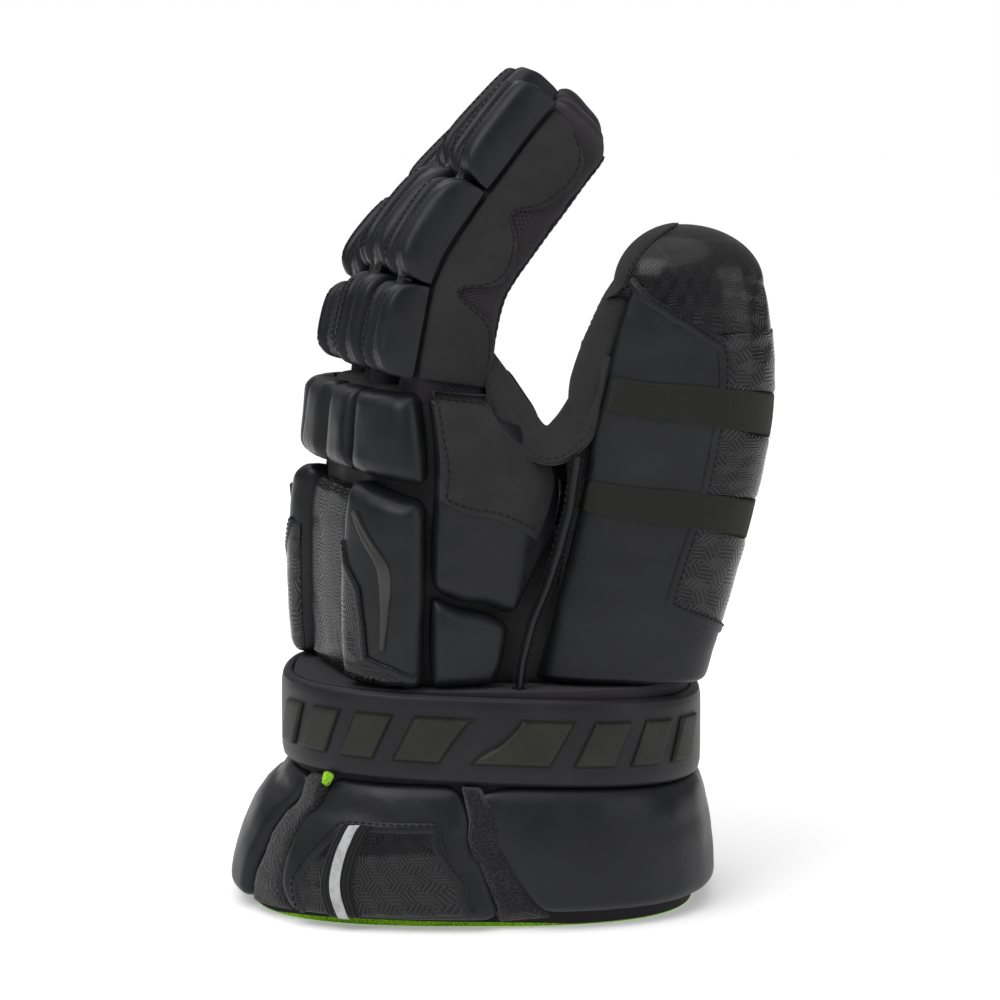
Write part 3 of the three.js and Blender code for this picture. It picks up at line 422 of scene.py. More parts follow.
class Graph:
    """A material's node tree and its one Principled shader."""

    def __init__(self, name: str, **sockets: object) -> None:
        """Makes the material.

        Args:
            name: Its name.
            sockets: Values of the shader's sockets that are the same all over.
        """
        self.material = bpy.data.materials.new(name)
        self.material.use_nodes = True
        self.tree = self.material.node_tree
        self.shader = self.tree.nodes["Principled BSDF"]
        for key, value in sockets.items():
            self.shader.inputs[key.replace("_", " ")].default_value = value

    def node(self, kind: str, settings: dict, inputs: dict, output: str | int = 0) -> Sock:
        """Adds a node.

        Args:
            kind: The node's type.
            settings: Its properties, set first.
            inputs: Values or links of its sockets, by name or number.
            output: Which of its outputs is wanted.

        Returns:
            The output.
        """
        made = self.tree.nodes.new(kind)
        for key, value in settings.items():
            setattr(made, key, value)
        usable = [s for s in made.inputs if s.enabled]
        for key, value in inputs.items():
            socket = usable[key] if isinstance(key, int) else next(s for s in usable if s.name == key)
            if isinstance(value, Sock):
                value = value.value
            if isinstance(value, bpy.types.NodeSocket):
                self.tree.links.new(value, socket)
            else:
                socket.default_value = value
        outputs = [s for s in made.outputs if s.enabled]
        found = outputs[output] if isinstance(output, int) else next(s for s in outputs if s.name == output)
        return Sock(self, found)

    def place(self, kind: str = "Object") -> Sock:
        """Texture coordinates: Object or UV."""
        return self.node("ShaderNodeTexCoord", {}, {}, kind)

    def split(self, vector: Sock) -> tuple[Sock, Sock, Sock]:
        """The three parts of a vector."""
        made = self.node("ShaderNodeSeparateXYZ", {}, {0: vector})
        return tuple(Sock(self, made.value.node.outputs[k]) for k in range(3))

    def noise(self, where: Sock, scale: float, detail: float = 2.0, rough: float = 0.5) -> Sock:
        """Smooth noise from 0 to 1."""
        inputs = {"Vector": where, "Scale": scale, "Detail": detail, "Roughness": rough}
        return self.node("ShaderNodeTexNoise", {}, inputs, "Fac")

    def cells(self, where: Sock, scale: float) -> Sock:
        """Distance to the nearest cell's middle."""
        return self.node("ShaderNodeTexVoronoi", {}, {"Vector": where, "Scale": scale}, "Distance")

    def blend(self, share: Sock, low: Sequence[float], high: Sequence[float]) -> Sock:
        """A colour between two."""
        inputs = {"Factor": share, "A": (*low, 1), "B": (*high, 1)}
        return self.node("ShaderNodeMix", {"data_type": "RGBA"}, inputs, "Result")

    def bump(self, height: Sock, depth: float, strength: float = 1.0, under: Sock | None = None) -> Sock:
        """A bump normal, over another one if given."""
        inputs = {"Height": height, "Distance": depth, "Strength": strength}
        if under:
            inputs["Normal"] = under
        return self.node("ShaderNodeBump", {}, inputs)

    def paint(self, **sockets: Sock) -> bpy.types.Material:
        """Links what changes over the surface, and gives the material back."""
        for key, value in sockets.items():
            self.tree.links.new(value.value, self.shader.inputs[key.replace("_", " ")])
        return self.material


class TwoTone:
    """What the finishes share: they vary between a dark and a light tone."""

    dark: Colour
    light: Colour

    def paint(self, graph: Graph, tone: Sock, rough: Sock, normal: Sock) -> bpy.types.Material:
        """Links what changes over the surface, and gives the material back."""
        colour = graph.blend(tone, self.dark, self.light)
        return graph.paint(Base_Color=colour, Roughness=rough, Normal=normal)


@dataclass(frozen=True)
class Leather(TwoTone):
    """Satin coated leather with a fine grain."""

    dark: Colour = (0.0062, 0.0065, 0.0082)
    light: Colour = (0.0105, 0.011, 0.0135)
    roughness: tuple[float, float] = (0.35, 0.45)
    grain: float = 0.1 * MM

    def make(self, name: str) -> bpy.types.Material:
        """Makes the material."""
        graph = Graph(name, Specular_IOR_Level=0.24)
        where = graph.place()
        cloud = graph.noise(where, 38, 4, 0.6)
        pores = graph.cells(where, 1500)
        grain = graph.noise(where, 900, 2)
        low, high = self.roughness
        rough = cloud.step(0.3, 0.7) * (high - low) + low
        normal = graph.bump(pores * 0.5 + grain * 0.5, self.grain, 0.35)
        soft = graph.bump(graph.noise(where, 85, 2), 0.5 * MM, 0.5, normal)
        return self.paint(graph, cloud.step(0.3, 0.75), rough, soft)


@dataclass(frozen=True)
class Suede(TwoTone):
    """Matte microfibre suede with a short nap."""

    dark: Colour = (0.0145, 0.0145, 0.0143)
    light: Colour = (0.0245, 0.0245, 0.0242)

    def make(self, name: str) -> bpy.types.Material:
        """Makes the material."""
        graph = Graph(name, Specular_IOR_Level=0.12, Sheen_Weight=0.08, Sheen_Roughness=0.6)
        where = graph.place()
        nap = graph.noise(where, 1400, 3, 0.7)
        cloud = graph.noise(where, 60, 5, 0.62)
        tone = (nap * 0.45 + cloud * 0.55).step(0.32, 0.68)
        normal = graph.bump(nap, 0.16 * MM, 0.55)
        return self.paint(graph, tone, nap * 0.08 + 0.88, normal)


@dataclass(frozen=True)
class Embossed(TwoTone):
    """Coated leather pressed with hexagons, each of three fields of parallel lines, with painted shade in
    its grooves.
    """

    cell: float = 9.5 * MM
    lines: float = 7.0
    # dark is painted shade for the pressed grooves; light is the tone of the ridges.
    dark: Colour = (0.0016, 0.0017, 0.002)
    light: Colour = (0.0095, 0.0098, 0.0115)
    gloss: float = 0.34

    def hexagon(self, graph: Graph) -> tuple[Sock, Sock]:
        """Where a point lies from the middle of its hexagon, in cells."""
        u, v, _ = graph.split(graph.place("UV"))
        u, v = u / self.cell, v / self.cell
        tall = math.sqrt(3)
        first = (u.floor_mod(1) - 0.5, v.floor_mod(tall) - tall / 2)
        second = ((u - 0.5).floor_mod(1) - 0.5, (v - tall / 2).floor_mod(tall) - tall / 2)
        reach = [x * x + y * y for x, y in (first, second)]
        near = reach[0] < reach[1]
        return near.choose(first[0], second[0]), near.choose(first[1], second[1])

    def make(self, name: str) -> bpy.types.Material:
        """Makes the material."""
        graph = Graph(name, Specular_IOR_Level=self.gloss)
        x, y = self.hexagon(graph)
        angles = [math.radians(a) for a in (90, 210, 330)]
        reach = [x * math.cos(a) + y * math.sin(a) for a in angles]
        across = [x * math.cos(a + math.pi / 3) + y * math.sin(a + math.pi / 3) for a in angles]
        best = (reach[0] > reach[1]).choose(reach[0], reach[1])
        line = (reach[0] > reach[1]).choose(across[0], across[1])
        line = (reach[2] > best).choose(across[2], line)
        groove = (line * self.lines).wave().step(0.22, 0.62)
        where = graph.place()
        worn = graph.noise(where, 120, 3)
        normal = graph.bump(groove, 0.42 * MM, 1.0)
        normal = graph.bump(graph.noise(where, 700, 2), 0.08 * MM, 0.3, normal)
        rough = groove * -0.1 + worn * 0.1 + 0.21
        # The colour follows the relief: the grooves take the dark tone as painted shade.
        return self.paint(graph, groove, rough, normal)


@dataclass(frozen=True)
class Knit(TwoTone):
    """Open knit with small holes between its loops, painted near-black as shade."""

    pitch: float = 1.15 * MM
    dark: Colour = (0.0022, 0.002, 0.0024)
    light: Colour = (0.021, 0.0175, 0.0225)

    def make(self, name: str) -> bpy.types.Material:
        """Makes the material."""
        graph = Graph(name, Specular_IOR_Level=0.25, Sheen_Weight=0.1)
        u, v, _ = graph.split(graph.place("UV"))
        turn = math.pi / self.pitch
        loops = abs(((u + v) * turn).sine()) * abs(((u - v) * turn).sine())
        open_loop = loops.step(0.42, 0.78)
        fibre = graph.noise(graph.place(), 2500, 2)
        normal = graph.bump(1 - open_loop + fibre * 0.25, 0.4 * MM, 0.8)
        # The open holes take the near-black tone: painted shade inside the knit.
        tone = (1 - open_loop) * (fibre * 0.5 + 0.7)
        return self.paint(graph, tone, fibre * 0.1 + 0.8, normal)


@dataclass(frozen=True)
class Webbing(TwoTone):
    """Woven elastic or tape, ribbed across its length, with painted shade between its ribs."""

    pitch: float = 0.62 * MM
    deep: float = 0.16 * MM
    dark: Colour = (0.0068, 0.0068, 0.0056)
    light: Colour = (0.0155, 0.0155, 0.0128)
    slant: float = 0.55

    def make(self, name: str) -> bpy.types.Material:
        """Makes the material."""
        graph = Graph(name, Specular_IOR_Level=0.2, Sheen_Weight=0.08)
        u, v, _ = graph.split(graph.place("UV"))
        rib = (u / self.pitch + v * self.slant / self.pitch).wave()
        weft = (v / (self.pitch * 0.62)).wave()
        cloth = rib.step(0.1, 0.6) * (weft * 0.3 + 0.7)
        fibre = graph.noise(graph.place(), 2200, 2)
        normal = graph.bump(cloth + fibre * 0.2, self.deep, 0.8)
        # The colour follows the ribs: the dips between them take the dark tone as painted shade.
        return self.paint(graph, cloth, fibre * 0.1 + 0.78, normal)


@dataclass(frozen=True)
class Moulded(TwoTone):
    """Matte moulded rubber or plastic with a fine tooth."""

    dark: Colour = (0.0085, 0.0085, 0.01)
    light: Colour = (0.0135, 0.0135, 0.016)
    roughness: float = 0.46

    def make(self, name: str) -> bpy.types.Material:
        """Makes the material."""
        graph = Graph(name, Specular_IOR_Level=0.24)
        where = graph.place()
        dust = graph.noise(where, 55, 5, 0.65)
        tooth = graph.noise(where, 1900, 2)
        normal = graph.bump(tooth, 0.07 * MM, 0.4)
        return self.paint(graph, dust.step(0.35, 0.75), dust * 0.12 + self.roughness - 0.06, normal)


@dataclass(frozen=True)
class Pile(TwoTone):
    """Brushed loops of a hook-and-loop fastener."""

    dark: Colour = (0.0012, 0.0012, 0.0015)
    light: Colour = (0.017, 0.0155, 0.019)

    def make(self, name: str) -> bpy.types.Material:
        """Makes the material."""
        graph = Graph(name, Specular_IOR_Level=0.1, Sheen_Weight=0.25, Sheen_Roughness=0.5)
        where = graph.place()
        curl = graph.noise(where, 1100, 4, 0.75)
        clump = graph.cells(where, 900)
        tone = (curl * 0.7 + clump * 0.4).step(0.3, 0.8)
        normal = graph.bump(curl + clump * 0.5, 0.9 * MM, 1.0)
        return self.paint(graph, tone, curl * 0.05 + 0.93, normal)


@dataclass(frozen=True)
class Lining(TwoTone):
    """Green knitted lining."""

    dark: Colour = (0.11, 0.27, 0.004)
    light: Colour = (0.26, 0.56, 0.012)

    def make(self, name: str) -> bpy.types.Material:
        """Makes the material."""
        graph = Graph(name, Specular_IOR_Level=0.2, Sheen_Weight=0.15)
        where = graph.place()
        loops = graph.cells(where, 1000)
        cloud = graph.noise(where, 90, 3)
        tone = (loops * 0.8 + cloud * 0.5).step(0.3, 0.9)
        return self.paint(graph, tone, cloud * 0.1 + 0.85, graph.bump(loops, 0.4 * MM, 0.7))


@dataclass(frozen=True)
class Reflective(TwoTone):
    """Silver reflective stripe of fine glass beads."""

    dark: Colour = (0.27, 0.275, 0.29)
    light: Colour = (0.42, 0.425, 0.44)

    def make(self, name: str) -> bpy.types.Material:
        """Makes the material."""
        graph = Graph(name, Specular_IOR_Level=0.5, Metallic=0.25)
        where = graph.place()
        beads = graph.cells(where, 2600)
        worn = graph.noise(where, 240, 4, 0.65)
        return self.paint(graph, worn.step(0.3, 0.6), worn * 0.2 + 0.4, graph.bump(beads, 0.06 * MM, 0.5))


class Finish(Enum):
    """The glove's finishes, by the record's slot that each belongs to."""

    LEATHER = ("leather", Leather())
    EMBOSSED = ("embossed", Embossed())
    # A copy of the embossed finish with its reflection turned down, as painted shade for the channel sunk
    # between the back pads.
    EMBOSSED_SHADED = ("embossed", Embossed(gloss=0.08))
    SUEDE = ("suede", Suede())
    KNIT = ("knit", Knit())
    STRAP = ("webbing", Webbing())
    # This near-black finish is the stitches' thread, and also the painted shade round the band's blocks.
    THREAD = ("webbing", Moulded((0.0015, 0.0015, 0.0017), (0.006, 0.006, 0.0066), 0.5))
    RUBBER = ("rubber", Moulded())
    BLOCK = ("rubber", Moulded((0.0125, 0.0125, 0.0095), (0.021, 0.021, 0.0165), 0.5))
    TRIM = ("trim", Moulded((0.024, 0.024, 0.0225), (0.042, 0.042, 0.039), 0.42))
    FLEECE = ("fleece", Pile())
    LINING = ("lining", Lining())
    # The tape's near-black dark tone is painted shade between its ribs.
    TAPE = ("tape", Webbing(1.5 * MM, 0.5 * MM, (0.0015, 0.0015, 0.0017), (0.011, 0.011, 0.012), 0.0))
    REFLECTIVE = ("reflective", Reflective())

    def material(self) -> bpy.types.Material:
        """The finish's material, made once."""
        name = f"finish_{self.name.lower()}"
        return bpy.data.materials.get(name) or self.value[1].make(name)


def shoulder(distance: Array, roll: float) -> Array:
    """How far a rolled edge has risen, 0 to 1, at a distance in from it."""
    short = 1 - np.clip(distance / roll, 0, 1)
    return np.sqrt(1 - short**2)


def bell(value: Array, middle: float, width: float) -> Array:
    """1 at a middle value, falling smoothly to 0 about a width away."""
    return np.exp(-(((value - middle) / width) ** 2))


def ripple(points: Array, wave: float, seed: float) -> Array:
    """Smooth unevenness from -1 to 1, from a few crossed waves.

    Args:
        points: Where it is wanted.
        wave: The length of a wave.
        seed: Sets one piece apart from the next.

    Returns:
        One number for each point.
    """
    x, y, z = (points / wave * math.tau).T
    first = np.sin(x + 1.3 * y + seed) + np.sin(1.1 * y - 0.7 * z + 2.1 * seed)
    second = np.sin(0.8 * z + 0.9 * x + 3.7 * seed) + np.sin(1.7 * z - 0.4 * y + 1.9 * seed)
    return (first + second) / 4


def middle_of(guide: Guide, place: Array) -> Array:
    """The middle of a guide's section, between its palm and its back."""
    palm, back = (guide.surface(place, np.full(place.shape, angle)) for angle in (0.0, 180.0))
    return (palm + back) / 2


def closed_sleeve(guide: Guide, a: Array, b: Array, start: float, rise: Array) -> Array:
    """Points of a sleeve whose tip closes into a dome.

    Args:
        guide: What the sleeve follows.
        a: Shares of the way round it.
        b: Shares of the way up it.
        start: The share at which the dome starts.
        rise: How far, and which way, the dome stands above the guide's end.

    Returns:
        One point for each pair of shares.
    """
    tip = np.clip((b - start) / (1 - start), 0, 1)
    place = np.minimum(b / start, 1) * SLEEVE_END
    shell = guide.surface(place, a * 360)
    closing = 1 - np.sqrt(1 - tip**2)
    closed = shell + (middle_of(guide, place) - shell) * closing[:, None]
    return closed + np.sin(tip * math.pi / 2)[:, None] * rise


@dataclass
class Cushion:
    """A pad, panel or strip over a guide. Each row of its outline, from bottom to top, holds the
    angle and place of its left end, and the angle and place of its right end."""

    guide: Guide
    outline: Rows
    thick: float
    lift: float = CLEARANCE
    rim: float = 0.3
    roll: float = 6 * MM
    end_rolls: tuple[float, float] | None = None
    side_rolls: tuple[float, float] | None = None
    crown: float = 0.0
    corner: float = 0.05
    uneven: float = 0.25 * MM
    waves: tuple[float, float] = (26 * MM, 9 * MM)
    seed: float = 0.0
    turn: Callable[[Array], Array] | None = None
    fold: float = 0.0
    fold_width: float = 7.5 * MM
    fold_fade: tuple[float, float] = (3 * MM, 4.5 * MM)
    sink: float = 0.3 * MM
    thin_top: float = 1.0
    extra: Callable[[Array, Array], Array] | None = None

    def __post_init__(self) -> None:
        """Measures the outline across and along its middle."""
        self.table = np.array(self.outline, float)
        middle = np.full(9, 0.5)
        share = np.linspace(0, 1, 9)
        self.width = self.length(self._ground(share, middle))
        self.height = self.length(self._ground(middle, share))

    @staticmethod
    def length(points: Array) -> float:
        """Length of a line of points."""
        return float(way_along(points)[-1])

    def spot(self, a: Array, b: Array) -> tuple[Array, Array]:
        """The place and angle at shares across and up the outline."""
        row = row_at(self.table, b * (len(self.table) - 1))
        angle = row[..., 0] + (row[..., 2] - row[..., 0]) * a
        place = row[..., 1] + (row[..., 3] - row[..., 1]) * a
        return place, self.turn(angle) if self.turn else angle

    def _ground(self, a: Array, b: Array) -> Array:
        """Points of the guide under the outline."""
        place, angle = self.spot(a, b)
        return self.guide.surface(place, angle)

    def rounded(self, a: Array, b: Array) -> tuple[Array, Array]:
        """Shares with the outline's corners pulled in to round ones."""
        p, q = 2 * a - 1, 2 * b - 1
        ratio = min(self.width, self.height)
        pull_p = self.corner * ratio / self.width
        pull_q = self.corner * ratio / self.height
        p_in = p * (1 - pull_p * 2 * np.abs(q) ** (2 / max(pull_q * 2, 0.02)))
        q_in = q * (1 - pull_q * 2 * np.abs(p) ** (2 / max(pull_p * 2, 0.02)))
        return (p_in + 1) / 2, (q_in + 1) / 2

    def rise(self, a: Array, b: Array) -> Array:
        """How far the face stands above the guide."""
        side = np.minimum(a, 1 - a) * self.width
        end = np.minimum(b, 1 - b) * self.height
        low_roll, top_roll = self.end_rolls or (self.roll, self.roll)
        left_roll, right_roll = self.side_rolls or (self.roll, self.roll)
        over_side = shoulder(a * self.width, left_roll) * shoulder((1 - a) * self.width, right_roll)
        over_end = shoulder(b * self.height, low_roll) * shoulder((1 - b) * self.height, top_roll)
        up = 0.4 * np.minimum(over_side, over_end) + 0.6 * over_side * over_end
        crown = self.crown * np.sin(np.pi * np.clip(a, 0, 1)) * np.sin(np.pi * np.clip(b, 0, 1))
        thin = 1 - (1 - self.thin_top) * np.clip((b - 0.5) / 0.5, 0, 1) ** 1.4
        height = (self.thick * (self.rim + (1 - self.rim) * up) + crown) * thin
        if self.fold:
            pucker = 0.5 + 0.5 * np.cos(a * self.width / self.fold_width * math.tau + self.seed * 5)
            fade_side, fade_end = self.fold_fade
            height -= self.fold * np.exp(-end / fade_end) * pucker * np.clip(side / fade_side, 0, 1)
        if self.extra:
            height = height + self.extra(a, b)
        return height

    def face(self, a: Array, b: Array, above: float = 0.0) -> Array:
        """Points of the upper face, or some way above it."""
        a_in, b_in = self.rounded(a, b)
        place, angle = self.spot(a_in, b_in)
        points = self.guide.at(place, angle, self.lift + self.rise(a, b) + above)
        if self.uneven:
            wide, fine = (ripple(points, wave, self.seed) for wave in self.waves)
            bend = self.uneven * (wide + 0.3 * fine)
            points = points + self.guide.normal(place, angle) * bend[..., None]
        return points

    def foot(self, a: Array, b: Array) -> Array:
        """Points under the edge, where the piece meets what it lies on."""
        a_in, b_in = self.rounded(a, b)
        place, angle = self.spot(a_in, b_in)
        on_guide = self.lift < 1 * MM
        return self.guide.at(place, angle, min(self.lift, CLEARANCE) - self.sink if on_guide else self.lift)

    def line(self, corners: Sequence[tuple[float, float]], above: float = 0.0, count: int = 60) -> Array:
        """Points of a line over the face, through corners given as shares across and up."""
        corners = np.array(corners, float)
        steps = np.linspace(0, len(corners) - 1, count * (len(corners) - 1) + 1)
        i = np.minimum(steps.astype(int), len(corners) - 2)
        share = (steps - i)[:, None]
        ab = corners[i] * (1 - share) + corners[i + 1] * share
        return self.face(ab[:, 0], ab[:, 1], above)

    def inset_line(self, edge: float, sides: str) -> list[tuple[float, float]]:
        """Corners of a line inside the outline.

        Args:
            edge: How far in it runs.
            sides: Which sides it follows in order, from "l", "t", "r" and "b".

        Returns:
            Shares across and up.
        """
        u, v = edge / self.width, edge / self.height
        ends = {"l": ((u, v), (u, 1 - v)), "t": ((u, 1 - v), (1 - u, 1 - v))}
        ends |= {"r": ((1 - u, 1 - v), (1 - u, v)), "b": ((1 - u, v), (u, v))}
        points = [ends[sides[0]][0]]
        for side in sides:
            points.append(ends[side][1])
        return points


class Bench:
    """Makes finished pieces and hands them to the frame."""

    def finish(
        self,
        mesh: bmesh.types.BMesh,
        name: str,
        finish: Finish,
        stands_for: str | None = None,
        padded: float | None = None,
        sharp: float = 48,
    ) -> bpy.types.Object:
        """Turns a bmesh into a piece of the glove.

        Args:
            mesh: The shape, which is used up.
            name: The piece's name.
            finish: What it is made of.
            stands_for: The CAD node that it replaces.
            padded: How full it is, for a padded piece; not used.
            sharp: Edges that turn more than this stay sharp.

        Returns:
            The piece.
        """
        bmesh.ops.recalc_face_normals(mesh, faces=mesh.faces)
        data = bpy.data.meshes.new(name)
        mesh.to_mesh(data)
        mesh.free()
        data.polygons.foreach_set("use_smooth", [True] * len(data.polygons))
        data.set_sharp_from_angle(angle=math.radians(sharp))
        data.materials.append(finish.material())
        piece = bpy.data.objects.new(name, data)
        bpy.context.collection.objects.link(piece)
        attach(piece, "root")
        if stands_for:
            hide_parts(stands_for)
        log.info("%s: %d faces", name, len(data.polygons))
        return piece

    def grid(
        self,
        columns: int,
        rows: int,
        face: Surface,
        foot: Surface | None = None,
        size: tuple[float, float] = (1.0, 1.0),
        ease: float = 0.6,
    ) -> bmesh.types.BMesh:
        """Lays a grid over a surface, and closes it underneath if it has a foot.

        Args:
            columns: Squares across.
            rows: Squares up.
            face: Gives the points of the face at shares across and up.
            foot: Gives the points under the edge.
            size: Width and height of the piece, for its UV map.
            ease: How much the squares crowd at the edges.

        Returns:
            The bmesh.
        """
        mesh = bmesh.new()
        uv = mesh.loops.layers.uv.new("UVMap")
        bmesh.ops.create_grid(mesh, x_segments=columns, y_segments=rows, size=0.5)
        if foot:
            rim = [e for e in mesh.edges if e.is_boundary]
            made = bmesh.ops.extrude_edge_only(mesh, edges=rim)
            lower = [v for v in made["geom"] if isinstance(v, bmesh.types.BMVert)]
            bmesh.ops.translate(mesh, verts=lower, vec=(0, 0, -1))
            bottom = [e for e in mesh.edges if e.is_boundary]
            bmesh.ops.contextual_create(mesh, geom=bottom)
        flat = np.array([v.co for v in mesh.verts])
        a, b = flat[:, 0] + 0.5, flat[:, 1] + 0.5
        a = a - ease * np.sin(a * math.tau) / math.tau
        b = b - ease * np.sin(b * math.tau) / math.tau
        a, b = np.clip(a, 0, 1), np.clip(b, 0, 1)
        for f in mesh.faces:
            for loop in f.loops:
                k = loop.vert.index
                loop[uv].uv = (a[k] * size[0], b[k] * size[1])
        points = face(a, b)
        if foot:
            under = flat[:, 2] < -0.5
            points[under] = foot(a[under], b[under])
        for vert, point in zip(mesh.verts, points):
            vert.co = point
        return mesh

    def over(self, shape: Cushion, step: float) -> tuple[bmesh.types.BMesh, int]:
        """Lays a cushion's grid, with squares of about one size, and counts those of its face."""
        columns = int(np.clip(shape.width / step, 8, 90))
        rows = int(np.clip(shape.height / step, 8, 110))
        mesh = self.grid(columns, rows, shape.face, shape.foot, (shape.width, shape.height))
        return mesh, columns * rows

    def shell(
        self,
        face: Surface,
        counts: tuple[int, int],
        size: tuple[float, float],
        name: str,
        finish: Finish,
        wall: float = 0.0,
        **facts: object,
    ) -> bpy.types.Object:
        """Makes a piece whose surface comes back to its own start.

        Args:
            face: Gives its points at shares round and up.
            counts: Squares round and up.
            size: Its width and height, for its UV map.
            name: The piece's name.
            finish: What it is made of.
            wall: How thick it is, if it is hollow.

        Returns:
            The piece.
        """
        mesh = self.grid(*counts, face, size=size, ease=0)
        bmesh.ops.remove_doubles(mesh, verts=mesh.verts, dist=MERGE)
        piece = self.finish(mesh, name, finish, **facts)
        if wall:
            thicken(piece, wall)
        return piece

    def cushion(
        self, shape: Cushion, name: str, finish: Finish, step: float = 1.6 * MM, **facts: object
    ) -> bpy.types.Object:
        """Makes a pad, panel or strip.

        Args:
            shape: The cushion.
            name: The piece's name.
            finish: What it is made of.
            step: The size of a square of its mesh.

        Returns:
            The piece.
        """
        return self.finish(self.over(shape, step)[0], name, finish, **facts)

    def cloth(
        self,
        shape: Cushion,
        name: str,
        finish: Finish,
        held: str,
        rests_on: list[str],
        step: float = 1.6 * MM,
        **facts: object,
    ) -> bpy.types.Object:
        """Makes a flat piece of cloth, open underneath, and says what it was cut to.

        Args:
            shape: The cushion that gives its outline and how it lies.
            name: The piece's name.
            finish: What it is made of.
            held: How it is held; not used.
            rests_on: The pieces that it lies on; not used.
            step: The size of a square of its mesh.

        Returns:
            The piece.
        """
        mesh, squares = self.over(shape, step)
        area = sum(f.calc_area() for f in mesh.faces[:squares])
        bottom = [f for f in mesh.faces if len(f.verts) > 4]
        bmesh.ops.delete(mesh, geom=bottom, context="FACES_ONLY")
        piece = self.finish(mesh, name, finish, **facts)
        middle = np.full(40, 0.5)
        share = np.linspace(0, 1, 40)
        long = [Cushion.length(shape.face(share, middle)), Cushion.length(shape.face(middle, share))]
        long = [max(long[0], area / long[1]), long[1]]
        min(area, long[0] * long[1])
        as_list(rests_on)
        log.info("%s: cut %.0f by %.0f mm, %.4f square metres", name, long[0] / MM, long[1] / MM, area)
        return piece

    def ribbon(
        self, shape: Ribbon, name: str, finish: Finish, columns: int = 8, **facts: object
    ) -> bpy.types.Object:
        """Makes a narrow strip.

        Args:
            shape: The ribbon.
            name: The piece's name.
            finish: What it is made of.
            columns: Squares across.

        Returns:
            The piece.
        """
        rows = int(np.clip(shape.length / (1.2 * MM), 12, 220))
        mesh = self.grid(columns, rows, shape.face, shape.foot, (shape.width, shape.length), ease=0)
        return self.finish(mesh, name, finish, **facts)

    def stitches(
        self,
        lines: Iterable[Array],
        name: str,
        pitch: float = 3.0 * MM,
        long: float = 2.1 * MM,
        thick: float = 0.38 * MM,
    ) -> None:
        """Makes rows of stitches as one piece.

        Args:
            lines: Lines of points that the rows follow.
            name: The piece's name.
            pitch: From one stitch to the next.
            long: A stitch's length.
            thick: Its half thickness.
        """
        pattern = bmesh.new()
        bmesh.ops.create_cone(
            pattern, cap_ends=True, segments=6, radius1=thick, radius2=thick, depth=long * 0.7
        )
        for end in (1, -1):
            cap = [f for f in pattern.faces if len(f.verts) == 6 and f.normal.z * end > 0.9]
            rim = bmesh.ops.extrude_discrete_faces(pattern, faces=cap)["faces"]
            verts = list({v for f in rim for v in f.verts})
            bmesh.ops.scale(pattern, verts=verts, vec=(0.45, 0.45, 1))
            bmesh.ops.translate(pattern, verts=verts, vec=(0, 0, end * long * 0.15))
        stitch = bpy.data.meshes.new("stitch")
        pattern.to_mesh(stitch)
        pattern.free()
        rest = np.array([v.co for v in stitch.vertices])
        whole = bmesh.new()
        for line in lines:
            run = way_along(line)
            for along in np.arange(pitch / 2, run[-1] - long / 2, pitch):
                spots = (along - long / 2, along + long / 2)
                start, end = np.stack([np.interp(spots, run, line[:, k]) for k in range(3)], -1)
                turn = np.array(Vector(end - start).to_track_quat("Z", "Y").to_matrix())
                stitch.vertices.foreach_set("co", (rest @ turn.T + (start + end) / 2).ravel())
                whole.from_mesh(stitch)
        bpy.data.meshes.remove(stitch)
        self.finish(whole, name, Finish.THREAD)


@dataclass
class Ribbon:
    """A narrow strip along a path over a guide. Each point of the path holds an angle and a place."""

    guide: Guide
    path: Sequence[tuple[float, float]]
    width: float
    thick: float
    above: float
    bow: float = 0.6
    taper: tuple[float, float] = (1.0, 1.0)
    soften: int = 6
    steps: int = 24
    sink: float = 1.2 * MM

    def __post_init__(self) -> None:
        """Walks the path."""
        share = np.linspace(0, 1, self.steps * (len(self.path) - 1) + 1)
        angle, place = straight_row(np.array(self.path, float), share)
        for _ in range(self.soften):
            angle[1:-1] = (angle[:-2] + 2 * angle[1:-1] + angle[2:]) / 4
            place[1:-1] = (place[:-2] + 2 * place[1:-1] + place[2:]) / 4
        self.ground = self.guide.surface(place, angle)
        self.out = self.guide.normal(place, angle)
        self.run = way_along(self.ground)
        way = np.gradient(self.ground, axis=0)
        side = np.cross(way, self.out)
        self.side = side / np.linalg.norm(side, axis=1, keepdims=True)

    @property
    def length(self) -> float:
        """Length of the strip."""
        return float(self.run[-1])

    def point(self, across: Array, along: Array, above: Array) -> Array:
        """Points some way across, along and above the path."""
        way = along * self.run[-1]

        def read(points: Array) -> Array:
            return np.stack([np.interp(way, self.run, column) for column in points.T], -1)

        return read(self.ground) + read(self.side) * across[:, None] + read(self.out) * above[:, None]

    def across(self, a: Array, b: Array) -> Array:
        """How far from the path's line shares across lie."""
        start, end = self.taper
        return (a - 0.5) * self.width * (start + (end - start) * b)

    def face(self, a: Array, b: Array) -> Array:
        """Points of the upper face."""
        rise = self.thick * (1 - self.bow * np.abs(2 * a - 1) ** 2.5)
        return self.point(self.across(a, b), b, self.above + rise)

    def foot(self, a: Array, b: Array) -> Array:
        """Points under the edge."""
        return self.point(self.across(a, b), b, np.full(a.shape, self.above - self.sink))

    def line(self, across: float, above: float = 0.0) -> Array:
        """Points of a line along the strip."""
        b = np.linspace(0, 1, len(self.run))
        return self.point(np.full(b.shape, across), b, np.full(b.shape, self.above + above))


